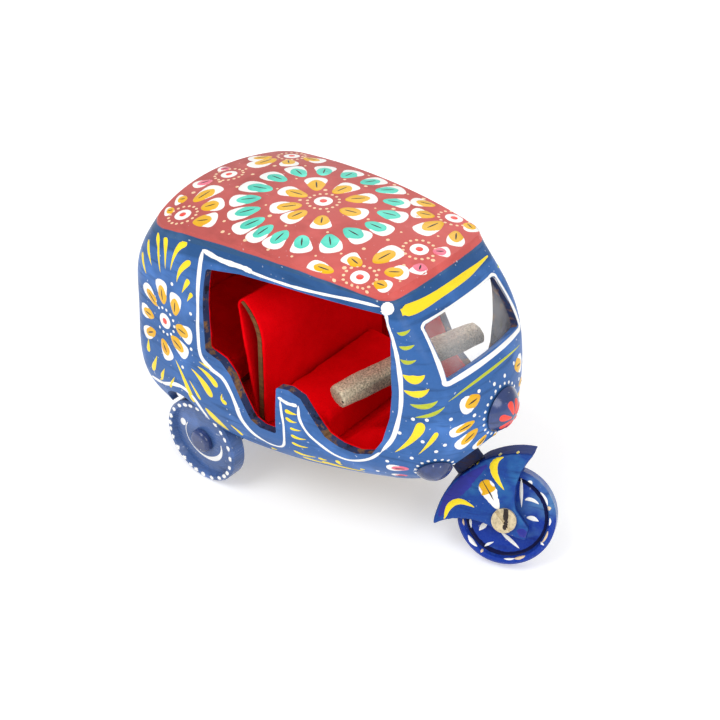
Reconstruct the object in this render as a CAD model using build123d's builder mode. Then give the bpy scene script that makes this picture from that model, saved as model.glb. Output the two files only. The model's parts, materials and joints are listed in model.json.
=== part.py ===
from build123d import *
import math
import os

# A small hand-made wooden toy auto rickshaw: hollow painted body, felt-lined cabin, three wheels.
# Millimetres. Stations run forward of the rear axle. Heights are above the belly, drops are below
# the top of the roof.
AXLE_X = -38.79
FIT = 0.3
RUN = 0.06

# Body form. Each row is a plan outline: nose and back are where it crosses the centre line, pillar
# and tail its front and rear corners, flank its half width at FLANK_X, the widest place.
FLANK_X = 10.0
LOWER_SECTIONS = (
    # height, nose, pillar_x, pillar_y, flank, tail_x, tail_y, back
    (-3.2, 76.4, 65.8, 16.2, 33.6, -20.4, 31.4, -25.8),
    (0.0, 80.0, 70.0, 17.5, 35.4, -22.0, 32.8, -28.0),
    (5.5, 85.5, 76.5, 19.6, 37.9, -24.4, 34.9, -31.4),
    (20.0, 92.2, 83.8, 21.0, 38.6, -26.2, 35.4, -34.7),
)
UPPER_SECTIONS = (
    # drop, nose, pillar_x, pillar_y, flank, tail_x, tail_y, back
    (30.4, 89.6, 84.2, 21.4, 37.0, -25.3, 34.5, -34.2),
    (13.4, 77.4, 74.6, 22.8, 33.4, -20.2, 32.8, -28.6),
    (-1.4, 69.2, 66.5, 24.2, 30.4, -14.5, 29.8, -19.6),
)
FRONT_ROUND = 4.0
REAR_ROUND = 6.0
WALL = 2.6
FELT = 0.8

# Crowned roof board.
ROOF_TOP_H = 71.3
ROOF_APEX_X = 34.0
ROOF_LONG_R = 300.0
ROOF_CROSS_R = 130.0
ROOF_T = 2.6

# Where the body panels meet.
FRONT_SEAM_X = 69.0
REAR_SEAM_X = -13.5

# Door opening in each side, round over the sill and the post and back along the roof.
DOOR = (
    # station, share of the height from belly to roof
    (8.6, 0.4306),
    (15.0, 0.4123),
    (19.0, 0.3647),
    (26.6, 0.1823),
    (29.8, 0.1571),
    (35.6, 0.1571),
    (35.8, 0.4011),
    (40.0, 0.4095),
    (44.2, 0.3871),
    (52.2, 0.2300),
    (56.5, 0.1950),
    (61.5, 0.1795),
    (66.3, 0.1992),
    (69.6, 0.2861),
    (71.6, 0.4137),
    (72.0, 0.5400),
    (71.2, 0.6858),
    (70.1, 0.7798),
    (67.0, 0.8682),
    (51.5, 0.8626),
    (34.1, 0.8555),
    (19.7, 0.8415),
    (7.4, 0.8093),
)
DOOR_CORNER_R = 1.0

# Windscreen opening.
SCREEN_FOOT_X = 84.7
SCREEN_FOOT_DROP = 30.1
SCREEN_HEAD_X = 73.3
SCREEN_HEAD_DROP = 11.2
SCREEN_FOOT_Y = 20.3
SCREEN_HEAD_Y = 19.6
SCREEN_FRAME = 2.6
SCREEN_CORNER_R = 1.5
SCREEN_SEAT = 1.3
SCREEN_T = 0.7

# Floor and the mat on it.
FLOOR_T = 3.0
MAT_T = 0.8

# Rear wheels, their arches, and the axle in its beam.
REAR_R = 15.1
REAR_T = 6.0
REAR_OUT = 35.6
RIM_W = 2.6
RIM_EDGE = 0.7
RECESS = 1.8
AXLE_R = 1.6
CAP_R = 4.2
CAP_H = 2.2
CAP_ROUND = 1.5
BEAM_W = 11.0
BEAM_UNDER = 5.0
WELL = 1.2
ARCH_X = -3.5
ARCH_H = -3.5
ARCH_R = 11.5

# Front wheel, swivelling fork and its pin. RAKE leans the pin back, TURN is how far the fork
# stands turned to the right.
FRONT_R = 15.2
FRONT_T = 6.4
RAKE = 50.0
TURN = 34.0
FORK_GAP = 1.0
FORK_CROWN = 2.4
FORK_CHEEK = 3.0
FORK_SIDE = 0.6
FORK_TIP_X = 19.4
FORK_TIP_DROP = 7.6
FORK_WING = (9.9, 6.8)
FORK_NECK = (4.8, 0.6)
FORK_LEG = (
    # forward of the axle, below it
    (4.7, 6.3),
    (1.4, 9.0),
    (-1.6, 5.0),
)
FORK_FLAT = 0.5
PIN_X = 79.5
PIN_H = 3.9
PIN_R = 1.6
PIN_HEAD_R = 2.8
PIN_HEAD_T = 1.0
SPACER_R = 4.8
SPACER_T = 4.5
CHIN_T = 5.0
SCREW_HEAD_R = 3.8
SCREW_HEAD_T = 1.1
SCREW_SLOT_W = 1.0
SCREW_SLOT_D = 0.6

# Seats.
SEAT_FRONT_X = 5.0
SEAT_TOP_H = 17.5
SEAT_T = 10.0
SEAT_ROUND = 2.0
BOX_BACK_X = -15.0
BOX_Y = 25.0
DRIVER_BACK_X = 25.4
DRIVER_FRONT_X = 46.0
DRIVER_TOP_H = 15.2
DRIVER_Y = 23.0
DRIVER_ROUND = 3.0

# Driver's backrest: a board inside a fold of felt.
BACK_FOOT_REAR_X = 20.6
BACK_FOOT_FRONT_X = 24.4
BACK_BELLY_X = 25.2
BACK_BELLY_DROP = 37.0
BACK_SHOULDER_X = 22.6
BACK_SHOULDER_DROP = 27.2
BACK_TOP_X = 17.4
BACK_TOP_DROP = 22.2
BACK_NAPE_X = 15.2
BACK_NAPE_DROP = 24.0
BACK_REAR_X = 14.9
BACK_REAR_DROP = 27.4
BACK_Y = 29.0
COVER_T = 1.0
BOARD_T = 1.6

# Handlebar: yawed to the right and tilted as it stands.
BAR_X = 58.1
BAR_H = 28.3
BAR_YAW = 18.0
BAR_TILT = 5.0
BAR_HALF = 26.0
BAR_DROOP = 0.8
BAR_MID_T = 8.4
BAR_END_T = 6.4
BAR_D = 7.6
BAR_BEVEL = 1.8
POST_R = 5.0
POST_FOOT_X = 72.0

# Turned wooden lamps.
LAMP_H = 27.5
LAMP_R = 7.2
LAMP_RISE = 4.0
SIDE_LAMP_Y = 19.6
SIDE_LAMP_H = 10.4
SIDE_LAMP_R = 5.4
SIDE_LAMP_RISE = 3.0

REACH = 200.0

# Directions of the fork: its pin, its axle and the wheel's own forward direction.
rake = math.radians(RAKE)
turn = math.radians(TURN)
PIN_DIR = Vector(-math.sin(rake), 0, math.cos(rake))
SPIN_DIR = Vector(math.cos(rake) * math.sin(turn), -math.cos(turn), math.sin(rake) * math.sin(turn))
WING_DIR = PIN_DIR.cross(SPIN_DIR)

# The front wheel stands on the floor; the fork on it carries the chin, and so the belly.
FRONT_Z = FRONT_R * math.sqrt(1 - SPIN_DIR.Z ** 2) + FRONT_T / 2 * abs(SPIN_DIR.Z)
FORK_TOP = FRONT_R + FORK_GAP + FORK_CROWN
CHIN_AT = FORK_TOP + FIT + SPACER_T
BELLY_Z = FRONT_Z + CHIN_AT * math.cos(rake) - PIN_H
FRONT_AT = Vector(AXLE_X + PIN_X + CHIN_AT * math.sin(rake), 0, FRONT_Z)
ROOF_Z = BELLY_Z + ROOF_TOP_H
FLOOR_Z = BELLY_Z + FLOOR_T
MAT_Z = FLOOR_Z + MAT_T
fork_plane = Plane(origin=FRONT_AT, x_dir=WING_DIR, z_dir=SPIN_DIR)
pin_plane = Plane(origin=FRONT_AT, x_dir=(0, 1, 0), z_dir=PIN_DIR)
sections = [(BELLY_Z + row[0],) + row[1:] for row in LOWER_SECTIONS]
sections += [(ROOF_Z - row[0],) + row[1:] for row in UPPER_SECTIONS]


def on_circle(middle, radius, angle):
    """Point of a circle at an angle from the forward direction."""
    return (middle[0] + radius * math.cos(angle), middle[1] + radius * math.sin(angle))


def plan_arcs(nose, pillar_x, pillar_y, flank, tail_x, tail_y, back):
    """Centres, radii and end angles of the front, left side and rear arcs of a plan outline."""
    front_r = ((nose - pillar_x) ** 2 + pillar_y ** 2) / (2 * (nose - pillar_x))
    rear_r = ((tail_x - back) ** 2 + tail_y ** 2) / (2 * (tail_x - back))
    dx1, dy1 = FLANK_X - pillar_x, flank - pillar_y
    dx2, dy2 = tail_x - pillar_x, tail_y - pillar_y
    twice = 2 * (dx1 * dy2 - dx2 * dy1)
    span1, span2 = dx1 ** 2 + dy1 ** 2, dx2 ** 2 + dy2 ** 2
    cx = (span1 * dy2 - span2 * dy1) / twice
    cy = (span2 * dx1 - span1 * dx2) / twice
    side_r = math.hypot(cx, cy)
    front_mid, rear_mid = (nose - front_r, 0), (back + rear_r, 0)
    side_mid = (pillar_x + cx, pillar_y + cy)
    front_end = math.atan2(pillar_y, pillar_x - front_mid[0]) - FRONT_ROUND / front_r
    side_start = math.atan2(-cy, -cx) + FRONT_ROUND / side_r
    side_end = math.atan2(tail_y - side_mid[1], tail_x - side_mid[0]) - REAR_ROUND / side_r
    rear_start = math.atan2(tail_y, tail_x - rear_mid[0]) + REAR_ROUND / rear_r
    return (
        (front_mid, front_r, front_end),
        (side_mid, side_r, side_start, side_end),
        (rear_mid, rear_r, rear_start),
    )


def body_form(inset):
    """The outside form of the body, pulled in by inset all round."""
    with BuildPart() as form:
        for row in sections:
            front, side, rear = plan_arcs(*row[1:])
            a = on_circle(front[0], front[1] - inset, front[2])
            b = on_circle(side[0], side[1] - inset, side[2])
            m = on_circle(side[0], side[1] - inset, (side[2] + side[3]) / 2)
            c = on_circle(side[0], side[1] - inset, side[3])
            d = on_circle(rear[0], rear[1] - inset, rear[2])
            left = [(AXLE_X + x, y) for x, y in (a, b, m, c, d)]
            right = [(x, -y) for x, y in left]
            nose = (AXLE_X + row[1] - inset, 0)
            back = (AXLE_X + row[7] + inset, 0)
            turn_in = (-math.sin(front[2]), math.cos(front[2]))
            with BuildSketch(Plane.XY.offset(row[0])):
                with BuildLine():
                    ThreePointArc(right[0], nose, left[0])
                    TangentArc(left[0], left[1], tangent=turn_in)
                    ThreePointArc(left[1], left[2], left[3])
                    TangentArc(left[4], left[3], tangent=(math.sin(rear[2]), -math.cos(rear[2])))
                    ThreePointArc(left[4], back, right[4])
                    TangentArc(right[4], right[3], tangent=(math.sin(rear[2]), math.cos(rear[2])))
                    ThreePointArc(right[3], right[2], right[1])
                    TangentArc(right[0], right[1], tangent=(-math.sin(front[2]), -math.cos(front[2])))
                make_face()
        loft()
    return form.part


def under_roof(drop):
    """Everything below the crowned top of the roof, lowered by drop."""
    half = 60.0
    centre_z = ROOF_Z - ROOF_CROSS_R
    edge_z = centre_z + math.sqrt((ROOF_CROSS_R - drop) ** 2 - half ** 2)
    hinge_z = ROOF_Z - ROOF_LONG_R
    section = Plane(origin=(AXLE_X + ROOF_APEX_X, 0, 0), x_dir=(0, 1, 0), z_dir=(1, 0, 0))
    with BuildPart() as below:
        with BuildSketch(section):
            with BuildLine():
                ThreePointArc((-half, edge_z), (0, ROOF_Z - drop), (half, edge_z))
                Polyline((half, edge_z), (half, hinge_z), (-half, hinge_z), (-half, edge_z))
            make_face()
        revolve(axis=Axis((AXLE_X + ROOF_APEX_X, 0, hinge_z), (0, 1, 0)))
    return below.part


def side_prism(points, corner_r=0):
    """A solid as wide as the toy with the given side outline (station, z), corners rounded."""
    with BuildPart() as prism:
        with BuildSketch(Plane.XZ) as outline:
            with BuildLine():
                Polyline([(AXLE_X + x, z) for x, z in points], close=True)
            make_face()
            if corner_r:
                fillet(outline.vertices(), corner_r)
        extrude(amount=REACH, both=True)
    return prism.part


def above_chin(height):
    """Everything on the body's side of the sloping chin, from height along the fork's pin."""
    with BuildPart() as block:
        with BuildSketch(pin_plane.offset(height)):
            Rectangle(2 * REACH, 2 * REACH)
        extrude(amount=REACH)
    return block.part


outside = body_form(0)
inside = body_form(WALL)
lined = body_form(WALL + FELT)
over_chin = above_chin(CHIN_AT)
in_chin = above_chin(CHIN_AT + CHIN_T)
roof_under = under_roof(ROOF_T)

# The belly is flat ahead of the wheels; behind them the rear panel hangs a little lower.
below_belly = side_prism(
    (
        (REAR_SEAM_X, BELLY_Z),
        (REAR_SEAM_X + REACH, BELLY_Z),
        (REAR_SEAM_X + REACH, 0),
        (REAR_SEAM_X, 0),
    )
)

with BuildPart() as shell:
    add(outside)
    add(roof_under, mode=Mode.INTERSECT)
    add(inside, mode=Mode.SUBTRACT)
    add(over_chin, mode=Mode.INTERSECT)
    add(below_belly, mode=Mode.SUBTRACT)

ahead = side_prism(
    (
        (FRONT_SEAM_X, 0),
        (FRONT_SEAM_X, REACH),
        (FRONT_SEAM_X + REACH, REACH),
        (FRONT_SEAM_X + REACH, 0),
    )
)
behind = side_prism(
    (
        (REAR_SEAM_X, 0),
        (REAR_SEAM_X, REACH),
        (REAR_SEAM_X - REACH, REACH),
        (REAR_SEAM_X - REACH, 0),
    )
)
door_points = [(x, BELLY_Z + share * ROOF_TOP_H) for x, share in DOOR]
doorway = side_prism(door_points, DOOR_CORNER_R)

with BuildPart() as arches:
    with BuildSketch(Plane.XZ):
        with Locations((AXLE_X + ARCH_X, BELLY_Z + ARCH_H)):
            Circle(ARCH_R)
    extrude(amount=REACH, both=True)

# Room for each rear wheel, hollowed from inside the side walls.
with BuildPart() as pockets:
    with BuildSketch(Plane.XZ):
        with Locations((AXLE_X, REAR_R)):
            Circle(REAR_R + WELL)
    extrude(amount=REAR_OUT + 2 * FIT, both=True)

# Windscreen plane: leans back between the foot and head of the frame.
screen_foot = Vector(AXLE_X + SCREEN_FOOT_X, 0, ROOF_Z - SCREEN_FOOT_DROP)
screen_head = Vector(AXLE_X + SCREEN_HEAD_X, 0, ROOF_Z - SCREEN_HEAD_DROP)
lean = screen_head - screen_foot
screen_plane = Plane(
    origin=(screen_foot + screen_head) / 2, x_dir=(0, 1, 0), z_dir=Vector(0, 1, 0).cross(lean)
)


def screen_hole(grow):
    """A block through the windscreen, larger than the frame's outline by grow."""
    rise = lean.length / 2 + grow
    foot = SCREEN_FOOT_Y + grow
    head = SCREEN_HEAD_Y + grow
    with BuildPart() as hole:
        with BuildSketch(screen_plane) as outline:
            with BuildLine():
                Polyline((-foot, -rise), (foot, -rise), (head, rise), (-head, rise), close=True)
            make_face()
            fillet(outline.vertices(), SCREEN_CORNER_R)
        extrude(amount=lean.length / 2, both=True)
    return hole.part


opening = screen_hole(-SCREEN_FRAME)

with BuildPart() as front_panel:
    add(shell.part)
    add(ahead, mode=Mode.INTERSECT)
    add(opening, mode=Mode.SUBTRACT)
    add(doorway, mode=Mode.SUBTRACT)

with BuildPart() as rear_panel:
    add(shell.part)
    add(behind, mode=Mode.INTERSECT)
    add(arches.part, mode=Mode.SUBTRACT)
    add(pockets.part, mode=Mode.SUBTRACT)


def half_space(side):
    """Everything to one side of the centre line: side is -1 for right, 1 for left."""
    with BuildPart() as block:
        with Locations((0, side * REACH / 2, REACH / 2)):
            Box(2 * REACH, REACH, REACH)
    return block.part


right_half = half_space(-1)
left_half = half_space(1)

with BuildPart() as side_right:
    add(shell.part)
    add(ahead, mode=Mode.SUBTRACT)
    add(behind, mode=Mode.SUBTRACT)
    add(doorway, mode=Mode.SUBTRACT)
    add(arches.part, mode=Mode.SUBTRACT)
    add(pockets.part, mode=Mode.SUBTRACT)
    add(right_half, mode=Mode.INTERSECT)

with BuildPart() as side_left:
    add(shell.part)
    add(ahead, mode=Mode.SUBTRACT)
    add(behind, mode=Mode.SUBTRACT)
    add(doorway, mode=Mode.SUBTRACT)
    add(arches.part, mode=Mode.SUBTRACT)
    add(pockets.part, mode=Mode.SUBTRACT)
    add(left_half, mode=Mode.INTERSECT)

with BuildPart() as roof:
    add(outside)
    add(under_roof(0), mode=Mode.INTERSECT)
    add(roof_under, mode=Mode.SUBTRACT)

# Floor board with a notch for each rear wheel, and the chin board the fork hangs from.
well_in = REAR_OUT - REAR_T - WELL
with BuildPart() as wells:
    for side in (-1, 1):
        with Locations((AXLE_X, side * (well_in + REACH / 2), REAR_R)):
            Box(2 * (REAR_R + WELL), REACH, 2 * (REAR_R + WELL))

with BuildPart() as floor_board:
    add(inside)
    with Locations((0, 0, BELLY_Z + FLOOR_T / 2)):
        Box(2 * REACH, 2 * REACH, FLOOR_T, mode=Mode.INTERSECT)
    add(in_chin, mode=Mode.INTERSECT)
    add(wells.part, mode=Mode.SUBTRACT)

with BuildPart() as chin_board:
    add(inside)
    add(over_chin, mode=Mode.INTERSECT)
    add(in_chin, mode=Mode.SUBTRACT)
    with BuildSketch(pin_plane):
        Circle(PIN_R)
    extrude(amount=REACH, mode=Mode.SUBTRACT)

with BuildPart() as floor_mat:
    add(lined)
    with Locations((0, 0, FLOOR_Z + MAT_T / 2)):
        Box(2 * REACH, 2 * REACH, MAT_T, mode=Mode.INTERSECT)
    add(in_chin, mode=Mode.INTERSECT)
    add(wells.part, mode=Mode.SUBTRACT)

# Felt lining of the cabin.
with BuildPart() as felt:
    add(inside)
    add(under_roof(ROOF_T + FELT), mode=Mode.INTERSECT)
    add(lined, mode=Mode.SUBTRACT)
    with Locations((0, 0, FLOOR_Z + REACH / 2)):
        Box(2 * REACH, 2 * REACH, REACH, mode=Mode.INTERSECT)
    add(wells.part, mode=Mode.SUBTRACT)

with BuildPart() as lining_right:
    add(felt.part)
    add(ahead, mode=Mode.SUBTRACT)
    add(behind, mode=Mode.SUBTRACT)
    add(doorway, mode=Mode.SUBTRACT)
    add(right_half, mode=Mode.INTERSECT)

with BuildPart() as lining_left:
    add(felt.part)
    add(ahead, mode=Mode.SUBTRACT)
    add(behind, mode=Mode.SUBTRACT)
    add(doorway, mode=Mode.SUBTRACT)
    add(left_half, mode=Mode.INTERSECT)

with BuildPart() as lining_rear:
    add(felt.part)
    add(behind, mode=Mode.INTERSECT)

with BuildPart() as lining_roof:
    add(inside)
    add(roof_under, mode=Mode.INTERSECT)
    add(under_roof(ROOF_T + FELT), mode=Mode.SUBTRACT)
    add(ahead, mode=Mode.SUBTRACT)

# Clear sheet behind the windscreen opening.
with BuildPart() as windscreen:
    add(inside)
    add(body_form(WALL + SCREEN_T), mode=Mode.SUBTRACT)
    add(screen_hole(SCREEN_SEAT - SCREEN_FRAME), mode=Mode.INTERSECT)
    add(ahead, mode=Mode.INTERSECT)

# Seats.
seat_room = body_form(WALL + FELT + FIT)
seat_z = BELLY_Z + SEAT_TOP_H
with BuildPart() as passenger_seat:
    add(seat_room)
    with Locations((AXLE_X + SEAT_FRONT_X - REACH / 2, 0, seat_z - SEAT_T / 2)):
        Box(REACH, 2 * REACH, SEAT_T, mode=Mode.INTERSECT)
    fillet(passenger_seat.edges().filter_by(Axis.Y).group_by(Axis.Z)[-1], SEAT_ROUND)
    add(wells.part, mode=Mode.SUBTRACT)

with BuildPart() as seat_box:
    box_h = seat_z - SEAT_T - MAT_Z
    box_l = SEAT_FRONT_X - SEAT_ROUND - BOX_BACK_X
    with Locations((AXLE_X + BOX_BACK_X + box_l / 2, 0, MAT_Z + box_h / 2)):
        Box(box_l, 2 * BOX_Y, box_h)

with BuildPart() as driver_seat:
    length = DRIVER_FRONT_X - DRIVER_BACK_X
    seat_h = BELLY_Z + DRIVER_TOP_H - MAT_Z
    with Locations((AXLE_X + DRIVER_BACK_X + length / 2, 0, MAT_Z + seat_h / 2)):
        Box(length, 2 * DRIVER_Y, seat_h)
    top_edges = driver_seat.faces().sort_by(Axis.Z)[-1].edges().sort_by(Axis.X)
    fillet(top_edges[1:], DRIVER_ROUND)

# Driver's backrest: a felt fold, pinched at the top and open at its ends, with a board inside.
with BuildPart() as backrest_form:
    with BuildSketch(Plane.XZ):
        with BuildLine():
            foot_rear = (AXLE_X + BACK_FOOT_REAR_X, MAT_Z)
            foot_front = (AXLE_X + BACK_FOOT_FRONT_X, MAT_Z)
            belly = (AXLE_X + BACK_BELLY_X, ROOF_Z - BACK_BELLY_DROP)
            shoulder = (AXLE_X + BACK_SHOULDER_X, ROOF_Z - BACK_SHOULDER_DROP)
            fold = (AXLE_X + BACK_TOP_X, ROOF_Z - BACK_TOP_DROP)
            nape = (AXLE_X + BACK_NAPE_X, ROOF_Z - BACK_NAPE_DROP)
            rear = (AXLE_X + BACK_REAR_X, ROOF_Z - BACK_REAR_DROP)
            Polyline(rear, foot_rear, foot_front, belly)
            ThreePointArc(belly, shoulder, fold)
            ThreePointArc(fold, nape, rear)
        make_face()
    extrude(amount=BACK_Y, both=True)

with BuildPart() as backrest_room:
    with BuildSketch(Plane.XZ):
        add(backrest_form.faces().sort_by(Axis.Y)[0])
        offset(amount=-COVER_T, mode=Mode.REPLACE)
    extrude(amount=REACH, both=True)

with BuildPart() as backrest_cover:
    add(backrest_form.part)
    add(backrest_room.part, mode=Mode.SUBTRACT)

with BuildPart() as backrest_board:
    add(backrest_room.part)
    add(backrest_form.part, mode=Mode.INTERSECT)
    add(Pos(-BOARD_T, 0, 0) * backrest_room.part, mode=Mode.SUBTRACT)

# Handlebar, a little thinner at its ends, and its post.
yaw = math.radians(BAR_YAW)
tilt = math.radians(BAR_TILT)
bar_mid = Vector(AXLE_X + BAR_X, 0, BELLY_Z + BAR_H)
bar_plane = Plane(
    origin=bar_mid,
    x_dir=Vector(math.sin(yaw) * math.cos(tilt), math.cos(yaw) * math.cos(tilt), math.sin(tilt)),
    z_dir=Vector(math.cos(yaw), -math.sin(yaw), 0),
)
with BuildPart() as handlebar:
    with BuildSketch(bar_plane):
        with BuildLine():
            high = BAR_MID_T / 2
            tip_high = BAR_END_T / 2 - BAR_DROOP
            tip_low = -BAR_END_T / 2 - BAR_DROOP
            ThreePointArc((-BAR_HALF, tip_high), (0, high), (BAR_HALF, tip_high))
            Line((BAR_HALF, tip_high), (BAR_HALF, tip_low))
            ThreePointArc((BAR_HALF, tip_low), (0, -high), (-BAR_HALF, tip_low))
            Line((-BAR_HALF, tip_low), (-BAR_HALF, tip_high))
        make_face()
    extrude(amount=BAR_D / 2, both=True)
    chamfer(handlebar.edges().filter_by(GeomType.CIRCLE), BAR_BEVEL)

post_dir = Vector(AXLE_X + POST_FOOT_X, 0, MAT_Z) - bar_mid
with BuildPart() as steering_post:
    with BuildSketch(Plane(origin=bar_mid, z_dir=post_dir)):
        Circle(POST_R)
    extrude(amount=REACH)
    add(lined, mode=Mode.INTERSECT)
    with Locations((0, 0, MAT_Z + REACH / 2)):
        Box(2 * REACH, 2 * REACH, REACH, mode=Mode.INTERSECT)
    add(in_chin, mode=Mode.INTERSECT)
    add(handlebar.part, mode=Mode.SUBTRACT)

# Rear axle: a beam under the floor, a rod through it and a cap over each end.
beam_half = REAR_OUT - REAR_T - FIT
with BuildPart() as axle_beam:
    beam_h = BELLY_Z - REAR_R + BEAM_UNDER
    with Locations((AXLE_X, 0, BELLY_Z - beam_h / 2)):
        Box(BEAM_W, 2 * beam_half, beam_h)
    with BuildSketch(Plane.XZ):
        with Locations((AXLE_X, REAR_R)):
            Circle(AXLE_R)
    extrude(amount=REACH, both=True, mode=Mode.SUBTRACT)

with BuildPart() as axle_rod:
    with BuildSketch(Plane.XZ):
        with Locations((AXLE_X, REAR_R)):
            Circle(AXLE_R)
    extrude(amount=REAR_OUT - RECESS + FIT, both=True)


def turned_wheel(middle, spin, radius, width):
    """A turned wheel about the line through middle along spin: raised rim, sunk faces, bore."""
    half = width / 2
    edge = RIM_EDGE
    bore = AXLE_R + RUN
    across = Vector(1, 0, 0) if abs(spin.X) < 0.1 else WING_DIR
    with BuildPart() as wheel:
        with BuildSketch(Plane(origin=middle, x_dir=spin, z_dir=across)):
            with BuildLine():
                Polyline(
                    (-half + RECESS, bore),
                    (-half + RECESS, radius - RIM_W),
                    (-half, radius - RIM_W + edge),
                    (-half, radius - edge),
                    (-half + edge, radius),
                    (half - edge, radius),
                    (half, radius - edge),
                    (half, radius - RIM_W + edge),
                    (half - RECESS, radius - RIM_W),
                    (half - RECESS, bore),
                    close=True,
                )
            make_face()
        revolve(axis=Axis(middle, spin))
    return wheel.part


wheel_mid_y = REAR_OUT - REAR_T / 2
with BuildPart() as rear_wheel_right:
    add(turned_wheel(Vector(AXLE_X, -wheel_mid_y, REAR_R), Vector(0, 1, 0), REAR_R, REAR_T))

with BuildPart() as rear_wheel_left:
    add(turned_wheel(Vector(AXLE_X, wheel_mid_y, REAR_R), Vector(0, 1, 0), REAR_R, REAR_T))


def hub_cap(side):
    """A low domed cap on one end of the axle."""
    face = Plane(
        origin=(AXLE_X, side * (REAR_OUT - RECESS + FIT), REAR_R), z_dir=(0, side, 0)
    )
    with BuildPart() as cap:
        with BuildSketch(face):
            Circle(CAP_R)
        extrude(amount=CAP_H)
        fillet(cap.faces().sort_by(Axis.Y)[0 if side < 0 else -1].edges(), CAP_ROUND)
    return cap.part


with BuildPart() as cap_right:
    add(hub_cap(-1))

with BuildPart() as cap_left:
    add(hub_cap(1))

# Front wheel and its fork.
with BuildPart() as front_wheel:
    add(turned_wheel(FRONT_AT, SPIN_DIR, FRONT_R, FRONT_T))

fork_half = FRONT_T / 2 + FORK_SIDE + FORK_CHEEK
with BuildPart() as fork:
    with BuildSketch(fork_plane):
        with BuildLine():
            crown = FORK_TOP + FORK_FLAT
            tip_y = FORK_TOP - FORK_TIP_DROP
            heel = (FORK_LEG[0][0], -FORK_LEG[0][1])
            toe = (FORK_LEG[1][0], -FORK_LEG[1][1])
            shin = (FORK_LEG[2][0], -FORK_LEG[2][1])
            ThreePointArc((-FORK_TIP_X, tip_y), (0, crown), (FORK_TIP_X, tip_y))
            ThreePointArc((FORK_TIP_X, tip_y), FORK_WING, FORK_NECK)
            Polyline(FORK_NECK, heel, toe, shin, (-FORK_NECK[0], FORK_NECK[1]))
            ThreePointArc((-FORK_NECK[0], FORK_NECK[1]), (-FORK_WING[0], FORK_WING[1]), (-FORK_TIP_X, tip_y))
        make_face()
    extrude(amount=fork_half, both=True)
    with BuildSketch(fork_plane):
        Circle(FRONT_R + FORK_GAP)
    extrude(amount=FRONT_T / 2 + FORK_SIDE, both=True, mode=Mode.SUBTRACT)
    with BuildSketch(fork_plane):
        Circle(AXLE_R)
    extrude(amount=REACH, both=True, mode=Mode.SUBTRACT)
    with BuildSketch(pin_plane.offset(FORK_TOP)):
        Circle(3 * FRONT_R)
    extrude(amount=REACH, mode=Mode.SUBTRACT)
    with BuildSketch(pin_plane):
        Circle(PIN_R + RUN)
    extrude(amount=REACH, mode=Mode.SUBTRACT)
    with BuildSketch(pin_plane):
        Circle(PIN_HEAD_R + RUN)
    extrude(amount=FRONT_R + FORK_GAP + PIN_HEAD_T + RUN, mode=Mode.SUBTRACT)

with BuildPart() as fork_pin:
    with BuildSketch(pin_plane.offset(FRONT_R + FORK_GAP)):
        Circle(PIN_HEAD_R)
    extrude(amount=PIN_HEAD_T)
    with BuildSketch(pin_plane.offset(FRONT_R + FORK_GAP)):
        Circle(PIN_R)
    extrude(amount=CHIN_AT + CHIN_T - FRONT_R - FORK_GAP)

with BuildPart() as fork_spacer:
    with BuildSketch(pin_plane.offset(FORK_TOP + FIT)):
        Circle(SPACER_R)
        Circle(PIN_R, mode=Mode.SUBTRACT)
    extrude(amount=SPACER_T)

with BuildPart() as front_axle:
    with BuildSketch(fork_plane):
        Circle(AXLE_R)
    extrude(amount=fork_half, both=True)
    with BuildSketch(fork_plane.offset(fork_half)):
        Circle(SCREW_HEAD_R)
    extrude(amount=SCREW_HEAD_T)
    with BuildSketch(fork_plane.offset(fork_half + SCREW_HEAD_T - SCREW_SLOT_D)):
        Rectangle(SCREW_SLOT_W, 3 * SCREW_HEAD_R)
    extrude(amount=SCREW_HEAD_T, mode=Mode.SUBTRACT)


def dome(at, facing, radius, height):
    """A turned dome seated on the body, its flat back just under the paint."""
    ball = (radius ** 2 + height ** 2) / (2 * height)
    seat = Plane(origin=at, z_dir=facing)
    with BuildPart() as lamp:
        with BuildSketch(Plane(origin=at, x_dir=seat.x_dir, z_dir=seat.y_dir)):
            with BuildLine():
                rise = height - ball
                edge = math.sqrt(ball ** 2 - rise ** 2)
                half = math.asin(edge / ball) / 2 if rise < 0 else math.pi / 4
                Line((0, 0), (edge, 0))
                ThreePointArc((edge, 0), (ball * math.sin(half), -rise - ball * math.cos(half)), (0, -height))
                Line((0, -height), (0, 0))
            make_face()
        revolve(axis=Axis(at, facing))
    return lamp.part


def on_body(start, heading):
    """Point and outward direction where a line first meets the outside of the body."""
    hits = outside.find_intersection_points(Axis(start, heading))
    point, normal = min(hits, key=lambda hit: (hit[0] - Vector(*start)).length)
    return point, normal


nose_at, nose_out = on_body((REACH, 0, BELLY_Z + LAMP_H), (-1, 0, 0))
with BuildPart() as headlamp:
    add(dome(nose_at, nose_out, LAMP_R, LAMP_RISE))
    add(outside, mode=Mode.SUBTRACT)

lamp_parts = []
for side in (-1, 1):
    spot = Vector(AXLE_X + LOWER_SECTIONS[3][2], side * SIDE_LAMP_Y, BELLY_Z + SIDE_LAMP_H)
    lamp_at, lamp_out = on_body((spot.X + REACH, spot.Y + side * REACH, spot.Z), (-1, -side, 0))
    lamp_parts.append(dome(lamp_at, lamp_out, SIDE_LAMP_R, SIDE_LAMP_RISE))

with BuildPart() as lamp_right:
    add(lamp_parts[0])
    add(outside, mode=Mode.SUBTRACT)

with BuildPart() as lamp_left:
    add(lamp_parts[1])
    add(outside, mode=Mode.SUBTRACT)

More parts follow.
